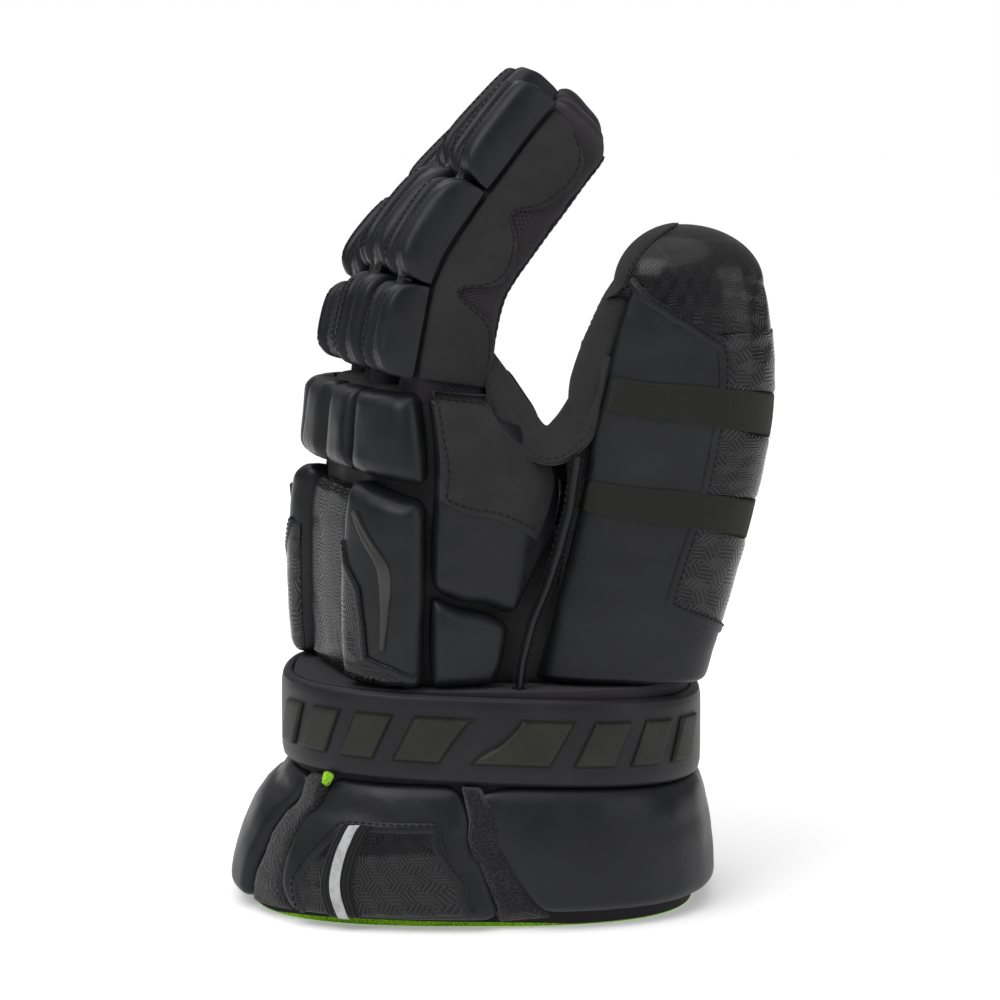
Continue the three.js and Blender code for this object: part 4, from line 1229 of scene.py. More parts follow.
@dataclass
class Finger:
    """One finger: its stall, its back pads and the strip along them."""

    name: str
    guide: FingerGuide
    seed: float
    pad_thick: float = 16 * MM
    pad_width: float = 28.2 * MM
    strip_width: float = 8.6 * MM
    strip_thick: float = 1.8 * MM
    pad_stretch: float = 1.12
    end_roll: float = 7 * MM
    end_height: float = 0.42
    end_width: float = 0.93
    pinch_across: tuple[float, float] = (0.72, 0.11)
    pinch_reach: float = 10 * MM
    pinch_depth: float = 2.2 * MM
    swell_across: tuple[float, float] = (0.9, 0.1)
    swell_height: float = 0.5 * MM
    groove: float = 0.72
    seam: float = 0.335
    strip_inset: float = 0.008
    strip_dip: float = 4.5 * MM
    strip_dip_width: float = 3.2 * MM
    strip_end_dip: float = 5 * MM
    tip_rise: float = 3.5 * MM
    uneven: float = 0.35 * MM
    pads: Sequence[tuple[str, float, float]] = (
        ("proximal", 0.056, 0.266),
        ("middle", 0.275, 0.539),
        ("distal", 0.549, 0.89),
    )
    profile: Rows = (
        (-1, 0), (-1.02, 0.35), (-1, 0.62), (-0.93, 0.83), (-0.78, 0.96), (-0.58, 1), (-0.42, 0.95),
        (-0.35, 0.8), (-0.3, 0.72), (0, 0.7), (0.3, 0.72), (0.35, 0.8), (0.42, 0.95), (0.58, 1),
        (0.78, 0.96), (0.93, 0.83), (1, 0.62), (1.02, 0.35), (1, 0),
    )

    def over_back(self, place: Array, across: Array, height: Array) -> Array:
        """Points over the back of the finger, some way across and some way above its stall."""
        centre, palm, half = self.guide.frame(place)
        aside = np.array(self.guide.along_row) * across[..., None]
        return centre - palm * (half[..., 0] + height)[..., None] + aside

    def section(self, share: Array) -> tuple[Array, Array]:
        """The pad's section at shares of the way round it."""
        table = np.array(self.profile, float)
        scale = np.array([self.pad_width / 2, self.pad_thick])
        run = way_along(table * scale)
        count = np.interp(share * run[-1], run, np.arange(len(table)))
        row = row_at(table, count)
        return row[..., 0], row[..., 1]

    def pad_face(self, start: float, end: float, seed: float) -> Surface:
        """The upper face of one pad, between two places along the finger."""

        def face(a: Array, b: Array) -> Array:
            across, up = self.section(a)
            near = np.minimum(b, 1 - b) * (end - start) * self.guide.length * self.pad_stretch
            full = shoulder(near, self.end_roll)
            height = up * (self.end_height + (1 - self.end_height) * full) * self.pad_thick
            pinch = bell(np.abs(across), *self.pinch_across)
            pinch *= np.clip(1 - near / self.pinch_reach, 0, 1) ** 1.5
            swell = bell(np.abs(across), *self.swell_across) * np.clip(1 - near / self.end_roll, 0, 1)
            height -= pinch * self.pinch_depth - swell * self.swell_height
            width = across * (self.end_width + (1 - self.end_width) * full) * self.pad_width / 2
            place = start + (end - start) * b
            points = self.over_back(place, width, CLEARANCE + np.maximum(height, 0))
            bend = 0.3 * MM * ripple(points, 22 * MM, seed) * np.clip(up * 2, 0, 1)
            return points + np.array(self.guide.along_row) * (bend * np.sign(across))[:, None]

        return face

    def pad_foot(self, start: float, end: float) -> Surface:
        """The underside of one pad's rim."""

        def foot(a: Array, b: Array) -> Array:
            across, _ = self.section(a)
            place = start + (end - start) * b
            return self.over_back(place, across * 0.9 * self.pad_width / 2, np.full(a.shape, 0.1 * MM))

        return foot

    def build(self, bench: Bench) -> None:
        """Makes the finger's pieces."""
        self.build_stall(bench)
        lines = []
        for number, (segment, start, end) in enumerate(self.pads):
            face = self.pad_face(start, end, self.seed + number)
            mesh = bench.grid(52, 30, face, self.pad_foot(start, end), (60 * MM, 35 * MM), ease=0.5)
            name = f"{self.name}_{segment}_pad"
            bench.finish(mesh, f"{name}_soft", Finish.LEATHER, stands_for=name, padded=0.8)
            along = np.linspace(0.1, 0.9, 40)
            lines += [face(np.full(40, side), along) for side in (self.seam, 1 - self.seam)]
        self.build_strip(bench)
        bench.stitches(lines, f"{self.name}_pad_stitches", pitch=2.6 * MM, long=1.8 * MM, thick=0.25 * MM)

    def build_stall(self, bench: Bench) -> None:
        """Makes the knitted sleeve of the finger."""
        guide = self.guide

        beyond, short = guide.at(np.array([1.02, 0.98]), np.zeros(2))
        up = (beyond - short) / np.linalg.norm(beyond - short)

        def face(a: Array, b: Array) -> Array:
            shell = closed_sleeve(guide, a, b, 0.9, up * self.tip_rise)
            place = np.minimum(b / 0.9, 1) * SLEEVE_END
            bend = self.uneven * ripple(shell, 14 * MM, self.seed)
            return shell + guide.normal(place, a * 360) * bend[:, None]

        name = f"{self.name}_stall"
        size = (112 * MM, 112 * MM)
        bench.shell(face, (64, 90), size, f"{name}_knit", Finish.KNIT, wall=1.4 * MM, stands_for=name)

    def build_strip(self, bench: Bench) -> None:
        """Makes the embossed strip that lies in the groove and dips between the pads."""
        start, end = self.pads[0][1] + self.strip_inset, self.pads[-1][2] - self.strip_inset
        seams = np.array([(self.pads[k][2] + self.pads[k + 1][1]) / 2 for k in (0, 1)])

        def face(a: Array, b: Array) -> Array:
            place = start + (end - start) * b
            gap = np.min(np.abs(place[:, None] - seams), axis=1) * self.guide.length
            dip = self.strip_dip * bell(gap, 0, self.strip_dip_width)
            ends = np.minimum(b, 1 - b) * (end - start + 2 * self.strip_inset) * self.guide.length
            dip += self.strip_end_dip * (1 - shoulder(ends, self.end_roll))
            bow = 1 - (2 * a - 1) ** 2
            up = self.groove * self.pad_thick + 0.7 * MM + self.strip_thick * (0.25 + 0.75 * bow) - dip
            return self.over_back(place, (a - 0.5) * self.strip_width, up)

        def foot(a: Array, b: Array) -> Array:
            place = start + (end - start) * b
            low = self.groove * self.pad_thick - 6 * MM
            return self.over_back(place, (a - 0.5) * self.strip_width, np.full(a.shape, low))

        mesh = bench.grid(10, 130, face, foot, (self.strip_width, 105 * MM), ease=0)
        name = f"{self.name}_back_strip"
        bench.finish(mesh, f"{name}_pressed", Finish.EMBOSSED, stands_for=name)


@dataclass
class FingerRow:
    """The four fingers, with the suede panels on the two open sides and down the palm."""

    guides: Guides
    fingers: Sequence[tuple[str, float, float, float, float]] = (
        ("index", -1.5, 0, 1, 1),
        ("middle", -0.5, 0.13, 1.035, 1.25),
        ("ring", 0.5, -0.07, 0.97, 1.25),
        ("pinky", 1.5, -0.15, 0.82, 1.05),
    )
    panel: Rows = (
        (0.06, -0.82, 0.86), (0.137, -0.82, 0.94), (0.214, -0.82, 0.7), (0.274, -0.82, -0.3),
        (0.334, -0.82, 0.4), (0.43, -0.82, 0.68), (0.497, -0.82, 0.4), (0.54, -0.82, -0.15),
        (0.6, -0.82, 0.4), (0.686, -0.82, 0.66), (0.771, -0.82, 0.4), (0.84, -0.82, -0.35),
    )

    def build(self, bench: Bench) -> None:
        """Makes every finger."""
        for number, (name, *shape) in enumerate(self.fingers):
            guide = self.guides.finger(*shape)
            Finger(name, guide, seed=2.3 * number + 0.4).build(bench)
            self.build_palm(bench, name, guide)
            if name in ("index", "pinky"):
                self.build_panel(bench, name, guide)

    def build_palm(self, bench: Bench, name: str, guide: FingerGuide) -> None:
        """Makes the suede strip down the palm side of a finger."""
        outline = [(-26, 0.02, 26, 0.02), (-28, 0.5, 28, 0.5), (-26, 0.87, 26, 0.87)]
        shape = Cushion(guide, outline, 0.6 * MM, rim=0.7, roll=1.2 * MM, corner=0.1, uneven=0.1 * MM)
        bench.cloth(shape, f"{name}_palm_strip", Finish.SUEDE, "laid", [f"{name}_stall_knit"])
        edges = shape.line(shape.inset_line(2.2 * MM, "ltrb"), -0.08 * MM, 100)
        bench.stitches([edges], f"{name}_palm_stitches", pitch=3.1 * MM, long=2.1 * MM, thick=0.24 * MM)

    def build_panel(self, bench: Bench, name: str, guide: FingerGuide) -> None:
        """Makes the scalloped suede panel on the open side of a finger, with its stitches."""

        def turn(share: Array) -> Array:
            angle = guide.angle_on_side(share)
            return 360 - angle if name == "pinky" else angle

        outline = [(start, place, end, place) for place, start, end in self.panel]
        shape = Cushion(
            guide, outline, 1.3 * MM, rim=0.75, roll=1.0 * MM, corner=0.02, uneven=0.12 * MM, turn=turn
        )
        facts = {"step": 1.1 * MM, "stands_for": f"{name}_side_panel"}
        bench.cloth(shape, f"{name}_side_suede", Finish.SUEDE, "laid", [f"{name}_stall_knit"], **facts)
        across = 1 - 2.4 * MM / shape.width
        inside = shape.line([(across, 0.03), (across, 0.97)], 0.1 * MM, 200)
        bench.stitches([inside], f"{name}_side_stitches", pitch=3.1 * MM, long=2.2 * MM, thick=0.28 * MM)


@dataclass
class Hand:
    """The hand: its skin, the pads on its back and sides, and the web to the thumb."""

    guides: Guides
    knuckle_thick: float = 11 * MM
    back_thick: float = 12 * MM
    channel_thick: float = 6 * MM
    side_thick: float = 9 * MM
    knuckles: Sequence[tuple[str, float, float, float, float]] = (
        ("index", 203, 251, 0.713, 0.687),
        ("middle", 181, 202, 0.713, 0.713),
        ("ring", 159, 180, 0.713, 0.713),
        ("pinky", 110, 158, 0.687, 0.713),
    )
    back: dict[str, Rows] = field(
        default_factory=lambda: {
            "back_pad_radial": (
                (204, 0.013, 252, 0.013), (204, 0.34, 253, 0.322), (204, 0.696, 251, 0.635),
            ),
            "back_pad_ulnar": ((108, 0.013, 168, 0.013), (107, 0.322, 168, 0.34), (110, 0.62, 168, 0.696)),
        }
    )
    sides: dict[str, Rows] = field(
        default_factory=lambda: {
            "radial_upper_pad": (
                (256, 0.348, 283, 0.243), (255, 0.513, 293, 0.391), (255, 0.687, 308, 0.565),
                (256, 0.843, 316, 0.704), (257, 0.995, 300, 0.855),
            ),
            "radial_lower_pad": (
                (257, 0.013, 276, 0.013), (256, 0.165, 280, 0.096), (256, 0.326, 282, 0.217),
            ),
            "ulnar_upper_pad": (
                (76, 0.3, 104, 0.34), (73, 0.52, 105, 0.52), (72, 0.72, 105, 0.73),
                (78, 0.92, 103, 0.945),
            ),
            "ulnar_lower_pad": ((80, 0.013, 104, 0.013), (77, 0.14, 104, 0.16), (76, 0.275, 104, 0.315)),
        }
    )
    channel: Rows = ((169.5, 0.013, 202.5, 0.013), (169.5, 0.66, 202.5, 0.66))
    palm: Rows = ((-30, 0.06, 30, 0.06), (-32, 0.5, 30, 0.5), (-36, 0.88, 27, 0.88))
    field: Rows = (
        (4, 0.03, 93, 0.06), (3, 0.1, 72, 0.115), (3, 0.16, 44, 0.16), (3, 0.345, 41, 0.345),
        (3, 0.515, 36, 0.515), (3, 0.62, 19, 0.62), (3, 0.7, 10, 0.72),
    )
    rib: Rows = (
        (234, 0.148, 236, 0.148), (234, 0.287, 238, 0.287), (231.5, 0.417, 237.5, 0.417),
        (223, 0.51, 227, 0.518), (216, 0.59, 218, 0.594),
    )
    web_patch: Rows = (
        (257, 0.648, 289, 0.503), (257.3, 0.7, 296, 0.61), (257.8, 0.76, 302, 0.7),
        (258.3, 0.83, 292, 0.765), (259.5, 0.91, 283, 0.85), (261.5, 1.0, 284, 0.965),
    )
    web: Rows = (
        (-0.1, 1.02, -0.08, 1.05, 0.45), (0.02, 0.52, 0.17, 0.7, -0.18),
        (0.13, 0.18, 0.33, 0.45, -0.91), (0.36, 0, 0.48, 0.24, -1.41),
        (0.62, -0.04, 0.59, 0.29, -1.55), (0.87, 0.16, 0.72, 0.47, -1.41),
        (0.96, 0.43, 0.77, 0.61, -0.91), (1.04, 0.86, 0.84, 1.0, -0.23),
    )
    vent: Rows = ((30, 0.13, 62, 0.1), (34, 0.2, 74, 0.2), (40, 0.3, 78, 0.31), (52, 0.42, 72, 0.44))
    welt: Sequence[tuple[float, float]] = (
        (29.3, 0.181), (26.6, 0.1615), (22.4, 0.1454), (18.2, 0.132), (12.5, 0.1178), (8.7, 0.1025),
        (6.8, 0.086),
    )
    notch_width: float = 45 * MM
    notch_depth: float = 44 * MM

    def build(self, bench: Bench) -> None:
        """Makes the hand's pieces."""
        self.build_skin(bench)
        self.build_palm(bench)
        self.build_knuckles(bench)
        self.build_back(bench)
        self.build_sides(bench)
        self.build_web(bench)

    def build_skin(self, bench: Bench) -> None:
        """Makes the palm and the skin under the pads: two filled guides grown into one."""
        whole = bmesh.new()
        for guide, top in ((self.guides.hand, 1.0), (self.guides.heel, 0.64)):

            def face(a: Array, b: Array) -> Array:
                return guide.surface(b * top, a * 360)

            part = bench.grid(64, 40, face, ease=0)
            bmesh.ops.remove_doubles(part, verts=part.verts, dist=MERGE)
            bmesh.ops.holes_fill(part, edges=[e for e in part.edges if e.is_boundary], sides=0)
            bmesh.ops.recalc_face_normals(part, faces=part.faces)
            data = bpy.data.meshes.new("part")
            part.to_mesh(data)
            part.free()
            whole.from_mesh(data)
            bpy.data.meshes.remove(data)
        piece = bench.finish(whole, "palm_skin", Finish.SUEDE, stands_for="palm_shell")
        blend = piece.modifiers.new("blend", "REMESH")
        blend.mode = "VOXEL"
        blend.voxel_size = 2.2 * MM
        even = piece.modifiers.new("even", "SMOOTH")
        even.iterations = 12
        apply_modifiers(piece)
        open_below(piece, self.guides.hand.foot.z + 0.3 * MM)
        thicken(piece, 1.8 * MM)

    def build_palm(self, bench: Bench) -> None:
        """Lays the airy knit panel on the palm, inside its stitched suede border."""
        ground = Outer(self.guides.hand, self.guides.heel, self.guides.to_palm)
        edge = {"rim": 0.7, "roll": 1.2 * MM, "corner": 0.12}
        border = Cushion(ground, self.palm, 0.9 * MM, lift=0.5 * MM, uneven=0.1 * MM, **edge)
        bench.cloth(border, "palm_panel", Finish.SUEDE, "laid", ["palm_skin"])
        inner = [(4, 0.07, 96, 0.07), (8, 0.5, 92, 0.5), (7, 0.94, 93, 0.94)]
        shape = Cushion(
            Face(border.face), inner, 0.5 * MM, lift=0.1 * MM, roll=1 * MM, corner=0.14, uneven=0
        )
        bench.cloth(shape, "palm_mesh", Finish.KNIT, "laid", ["palm_panel"])
        insets = ((border, 1.8 * MM), (shape, 1.6 * MM))
        lines = [piece.line(piece.inset_line(inset, "ltrb"), 0.1 * MM, 120) for piece, inset in insets]
        bench.stitches(lines, "palm_stitches", pitch=3.2 * MM, long=2.2 * MM, thick=0.28 * MM)

    def build_knuckles(self, bench: Bench) -> None:
        """Makes the row of pads over the knuckles."""
        for number, (name, start, end, low_start, low_end) in enumerate(self.knuckles):
            outline = ((start, low_start, end, low_end), (start, 0.991, end, 0.991))
            form = {"crown": 0.8 * MM, "fold": 1.1 * MM, "seed": number + 3.1}
            shape = Cushion(self.guides.hand, outline, self.knuckle_thick, **form)
            node = f"{name}_knuckle_pad"
            bench.cushion(shape, f"{node}_soft", Finish.LEATHER, stands_for=node, padded=0.85)

    def build_back(self, bench: Bench) -> None:
        """Makes the long pads on the back of the hand, their ribs and the insert between them."""
        for number, (name, outline) in enumerate(self.back.items()):
            form = {"roll": 7 * MM, "crown": 0.6 * MM, "fold": 1.3 * MM, "seed": number + 7.3}
            shape = Cushion(self.guides.hand, outline, self.back_thick, **form)
            bench.cushion(shape, f"{name}_soft", Finish.LEATHER, stands_for=name, padded=0.85)
            self.build_field(bench, name, shape, flip=name == "back_pad_ulnar")
        shape = Cushion(self.guides.hand, self.channel, self.channel_thick, roll=5 * MM, rim=0.2)
        # The channel takes the dimmed copy of the embossed finish: painted shade between the pads.
        bench.cushion(shape, "back_channel_pressed", Finish.EMBOSSED_SHADED, stands_for="back_channel")
        mirrored = [(360 - b, q, 360 - a, p) for a, p, b, q in self.rib]
        form = {
            "lift": self.back_thick + 0.5 * MM, "roll": 1.6 * MM, "rim": 0.35, "corner": 0.0, "uneven": 0
        }
        for side, outline in (("radial", self.rib), ("ulnar", mirrored)):
            shape = Cushion(self.guides.hand, outline, 2.0 * MM, **form)
            bench.cushion(
                shape, f"back_rib_{side}_moulded", Finish.TRIM, step=0.7 * MM, stands_for=f"back_rib_{side}"
            )

    def build_field(self, bench: Bench, name: str, pad: Cushion, flip: bool) -> None:
        """Lays a pressed field beside the middle of the back, with its trim and stitches."""
        top = Face(pad.face)
        rows = [(100 - c, q, 100 - a, p) if flip else (a, p, c, q) for a, p, c, q in self.field]
        shape = Cushion(top, rows, 0.6 * MM, lift=0.1 * MM, roll=0.8 * MM, corner=0.0, uneven=0)
        bench.cushion(shape, f"{name}_pressed", Finish.EMBOSSED, step=1 * MM)
        path = [(100 - c if flip else c, q) for _, _, c, q in reversed(self.field)]
        trim = Ribbon(top, path, 3.2 * MM, 1.1 * MM, 0.1 * MM, bow=0.4, soften=3)
        bench.ribbon(trim, f"{name}_trim", Finish.LEATHER)
        seam = trim.line(1.0 * MM if flip else -1.0 * MM, 1.05 * MM)
        bench.stitches([seam], f"{name}_stitches", pitch=2.6 * MM, long=1.8 * MM, thick=0.32 * MM)

    def build_sides(self, bench: Bench) -> None:
        """Makes the pads on the thumb side and on the little finger's side, and the suede patch."""
        for number, (name, outline) in enumerate(self.sides.items()):
            shape = Cushion(self.guides.hand, outline, self.side_thick, crown=0.5 * MM, seed=number + 11.7)
            bench.cushion(shape, f"{name}_soft", Finish.LEATHER, stands_for=name, padded=0.85)
        shape = Cushion(
            self.guides.hand,
            self.web_patch,
            1.1 * MM,
            lift=self.side_thick + 0.6 * MM,
            rim=0.7,
            roll=1.0 * MM,
            corner=0.0,
            uneven=0.1 * MM,
            extra=lambda a, b: -4.5 * MM * np.clip((b - 0.8) / 0.2, 0, 1) ** 2,
        )
        under = ["radial_upper_pad_soft"]
        bench.cloth(shape, "web_patch_suede", Finish.SUEDE, "laid", under, stands_for="web_patch")
        corners = shape.inset_line(2.6 * MM, "tlbr")
        bench.stitches([shape.line(corners, 0.1 * MM, 120)], "web_patch_stitches", thick=0.28 * MM)

    def build_web(self, bench: Bench) -> None:
        """Makes the saddle of suede between the index finger and the thumb."""
        left = self.guides.thumb_foot.x - 0.727 * self.guides.thumb_depth
        top = self.guides.hand.foot.z + 0.774 * self.guides.hand_length
        depths = [self.guides.shift.y - share * self.guides.hand_width for share in (0.504, 0.365, 0.157)]
        table = np.array(self.web, float)

        def face(a: Array, b: Array) -> Array:
            row = row_at(table, b * (len(table) - 1))
            near_x, near_z, ridge_x, ridge_z, foot_z = row.T
            tuck = np.clip(1 - b / 0.24, 0, 1) ** 1.3 * 14 * MM
            stations = np.stack(
                [
                    np.stack([near_x, depths[0] + tuck, near_z], -1),
                    np.stack([ridge_x, np.full(len(a), depths[1]), ridge_z], -1),
                    np.stack([ridge_x, np.full(len(a), depths[2]), ridge_z - 0.32], -1),
                    np.stack([ridge_x, np.full(len(a), depths[2]), foot_z], -1),
                ],
                1,
            )
            span = np.minimum((a * 3).astype(int), 2)
            f = (a * 3 - span)[:, None]
            p0, p1, p2, p3 = (stations[np.arange(len(a)), np.clip(span + k, 0, 3)] for k in (-1, 0, 1, 2))
            curve = 2 * p0 - 5 * p1 + 4 * p2 - p3 + f * (3 * (p1 - p2) + p3 - p0)
            point = p1 + 0.5 * f * (p2 - p0 + f * curve)
            point[:, 0] = left + point[:, 0] * self.notch_width
            point[:, 2] = top + point[:, 2] * self.notch_depth
            return point

        mesh = bench.grid(40, 60, face, size=(60 * MM, 90 * MM), ease=0)
        piece = bench.finish(mesh, "web_gusset_suede", Finish.SUEDE, stands_for="web_gusset")
        thicken(piece, 1.8 * MM, 0)
        saddle = Face(lambda a, b: face(1 - a, b))
        outline = [(100 - c, q, 100 - a, p) for a, p, c, q in self.vent]
        shape = Cushion(saddle, outline, 0.5 * MM, lift=1.0 * MM, roll=1 * MM, corner=0.2, uneven=0)
        bench.cushion(shape, "web_vent", Finish.KNIT, step=1 * MM)
        edge = face(np.full(90, 0.06), np.linspace(0.04, 0.96, 90))
        edge[:, 1] -= 1.0 * MM
        bench.stitches([edge], "web_stitches", thick=0.28 * MM)
        front = Front(self.guides.shift, -61.5 * MM)
        welt = Ribbon(front, self.welt, 4.2 * MM, 3.4 * MM, -1.5 * MM, bow=0.85, taper=(1.0, 0.75))
        bench.ribbon(welt, "thumb_seam_welt", Finish.LEATHER, columns=12)
        seams = [welt.line(side, 0.2 * MM) for side in (-2.3 * MM, 2.3 * MM)]
        bench.stitches(seams, "welt_stitches", pitch=2.6 * MM, long=1.8 * MM)


@dataclass
class Thumb:
    """The thumb: its stall, pads, tip cap, elastic straps and binding."""

    guides: Guides
    pad_thick: float = 9 * MM
    cap_thick: float = 7 * MM
    dome_start: float = 0.4
    dome_foot: float = 0.895
    dome: float = 23.2 * MM
    dome_radius: float = 34 * MM
    dive: float = 6 * MM
    pressed: float = 1.6 * MM
    press_margin: float = 2 * MM
    press_fade: float = 3 * MM
    press_angles: tuple[float, float] = (296.0, 36.0)
    tip_rise: float = 2.5 * MM
    main: Rows = (
        (206, 0.009, 358, 0.009), (213, 0.098, 358, 0.134), (217, 0.191, 291.5, 0.195),
        (218, 0.399, 292.5, 0.399), (222, 0.543, 293.5, 0.543), (227, 0.699, 296.5, 0.694),
        (229, 0.9, 295, 0.79),
    )
    side: Rows = (
        (289, 0.187, 400, 0.106), (290, 0.399, 400, 0.399), (291, 0.572, 400, 0.572),
        (292, 0.795, 400, 0.795),
    )
    straps: dict[str, Rows] = field(
        default_factory=lambda: {
            "thumb_strap_upper": ((228.5, 0.627, 384, 0.548), (230.5, 0.699, 384, 0.644)),
            "thumb_strap_lower": ((220.5, 0.403, 384, 0.322), (222.5, 0.471, 384, 0.413)),
        }
    )
    binding: Rows = (
        (150, 0.46, 214, 0.44), (150, 0.6, 220, 0.572), (150, 0.717, 226, 0.717),
        (150, 0.83, 228, 0.83), (150, 0.96, 226, 0.9),
    )
    bulge: float = 3.6 * MM
    ridges: tuple[float, float] = (0.55, 0.95)
    ridge_height: float = 0.35 * MM
    ridge_count: int = 30
    trims: Sequence[Sequence[tuple[float, float]]] = (
        (
            (229, 0.893), (245, 0.868), (262, 0.843), (282, 0.79), (294, 0.765), (296, 0.72),
            (294, 0.57), (293, 0.44), (290, 0.33),
        ),
        (
            (290, 0.34), (288.5, 0.25), (288.5, 0.194), (306, 0.174), (330, 0.154), (352, 0.136),
            (374, 0.122),
        ),
    )
    tip: Rows = (
        (0, 0.79, 1.27), (38, 0.8, 1.1), (48, 0.85, 0.5), (70, 0.86, 0.15), (110, 0.86, 0.15),
        (150, 0.86, 0.2), (190, 0.86, 0.45), (210, 0.87, 0.9), (229, 0.88, 1.22),
        (245, 0.868, 1.27), (262, 0.843, 1.27), (282, 0.79, 1.27), (320, 0.785, 1.27),
        (360, 0.79, 1.27),
    )

    def build(self, bench: Bench) -> None:
        """Makes the thumb's pieces."""
        self.build_stall(bench)
        self.build_pads(bench)
        self.build_tip(bench)
        self.build_straps(bench)
        form = {"rim": 0.4, "roll": 5 * MM, "uneven": 0.3 * MM, "thin_top": 0.8}
        shape = Cushion(self.guides.thumb, self.binding, 4.5 * MM, extra=self.ridge, **form)
        bench.cushion(shape, "thumb_binding_suede", Finish.SUEDE, step=0.9 * MM, stands_for="thumb_binding")

    def ridge(self, a: Array, b: Array) -> Array:
        """Fine ridges moulded across the upper part of the binding."""
        low, high = self.ridges
        within = np.clip((b - low) * 12, 0, 1) * np.clip((high - b) * 12, 0, 1) * np.clip(a * 4 - 1, 0, 1)
        bulge = self.bulge * bell(b, 0.42, 0.22) * np.clip(a * 2, 0, 1)
        return bulge + within * self.ridge_height * np.cos((b * self.ridge_count + a * 3) * math.tau)

    def build_stall(self, bench: Bench) -> None:
        """Makes the suede sleeve of the thumb."""

        def face(a: Array, b: Array) -> Array:
            return closed_sleeve(self.guides.thumb, a, b, 0.94, np.array((0, 0, self.tip_rise)))

        facts = {"wall": 1.6 * MM, "stands_for": "thumb_stall"}
        bench.shell(face, (72, 100), (170 * MM, 172 * MM), "thumb_stall_suede", Finish.SUEDE, **facts)

    def build_pads(self, bench: Bench) -> None:
        """Makes the smooth main pad, the embossed pad round the outer edge and the trim between."""
        form = {
            "end_rolls": (5 * MM, 1 * MM), "side_rolls": (5 * MM, 0.8 * MM), "seed": 21.3, "corner": 0.0
        }
        shape = Cushion(self.guides.thumb, self.main, self.pad_thick, **form)
        bench.cushion(shape, "thumb_pad_soft", Finish.LEATHER, stands_for="thumb_pad", padded=0.85)
        form |= {"end_rolls": (1.5 * MM, 0.8 * MM), "side_rolls": (0.8 * MM, 6 * MM)}
        shape = Cushion(self.guides.thumb, self.side, self.pad_thick, **form)
        shape.extra = lambda a, b: -self.press(*shape.spot(a, b))
        bench.cushion(
            shape, "thumb_side_panel_pressed", Finish.EMBOSSED, stands_for="thumb_side_panel", padded=0.85
        )
        stitches = []
        for number, path in enumerate(self.trims):
            above = self.pad_thick + 0.2 * MM
            trim = Ribbon(self.guides.thumb, path, 3.8 * MM, 0.9 * MM, above, bow=0.45, soften=3)
            bench.ribbon(trim, f"thumb_trim_{number + 1}", Finish.LEATHER)
            stitches.append(trim.line(-1.2 * MM, 0.95 * MM))
        bench.stitches(stitches, "thumb_trim_stitches", pitch=2.7 * MM, long=1.9 * MM, thick=0.36 * MM)

    def press(self, place: Array, angle: Array) -> Array:
        """How far the straps press the embossed pad in."""
        held = np.zeros(np.shape(angle))
        for low, high in self.straps.values():
            share = (angle - low[0]) / (low[2] - low[0])
            under = (place - low[1] - (low[3] - low[1]) * share) * self.guides.thumb_length
            over = (high[1] + (high[3] - high[1]) * share - place) * self.guides.thumb_length
            inside = np.minimum(under, over) + self.press_margin
            held += np.clip(inside / self.press_fade, 0, 1) ** 2
        start, span = self.press_angles
        return self.pressed * held * np.clip((angle - start) / span, 0, 1)

    def build_tip(self, bench: Bench) -> None:
        """Makes the pressed cap over the thumb's tip."""

        def face(a: Array, b: Array) -> Array:
            return self.cap((a * 360) % 360, b, 0.0)

        mesh = bench.grid(90, 60, face, size=(170 * MM, 60 * MM), ease=0)
        bmesh.ops.remove_doubles(mesh, verts=mesh.verts, dist=MERGE)
        bmesh.ops.holes_fill(mesh, edges=[e for e in mesh.edges if e.is_boundary], sides=0)
        self.unroll(mesh)
        bench.finish(
            mesh, "thumb_tip_cap_pressed", Finish.EMBOSSED, stands_for="thumb_tip_cap", padded=0.85
        )

        def rim(a: Array, b: Array) -> Array:
            edge = 226 + 34 * b**2
            above = 0.5 * MM * np.minimum((1 - a) * 30, 1) + 0.25 * MM
            return self.cap(100 + (edge - 100) * a, b * 0.94, above)

        mesh = bench.grid(40, 40, rim, size=(60 * MM, 50 * MM), ease=0)
        bench.finish(mesh, "thumb_tip_suede", Finish.SUEDE)
        edge = rim(np.full(60, 0.985), np.linspace(0, 1, 60))
        bench.stitches([edge], "thumb_tip_stitches", pitch=2.6 * MM, long=1.8 * MM, thick=0.3 * MM)

    def unroll(self, mesh: bmesh.types.BMesh) -> None:
        """Maps the dome's pattern evenly about the way it faces."""
        uv = mesh.loops.layers.uv.active
        middle = sum((v.co for v in mesh.verts), Vector()) / len(mesh.verts)
        ahead = Vector((0.25, -1, 0.35)).normalized()
        right = ahead.cross((0, 0, 1)).normalized() * -1
        up = right.cross(ahead) * -1
        for f in mesh.faces:
            for loop in f.loops:
                way = (loop.vert.co - middle).normalized()
                turn = way.angle(ahead)
                flat = Vector((way.dot(right), way.dot(up)))
                if flat.length > 1e-6:
                    flat.normalize()
                loop[uv].uv = flat * (turn * self.dome_radius)

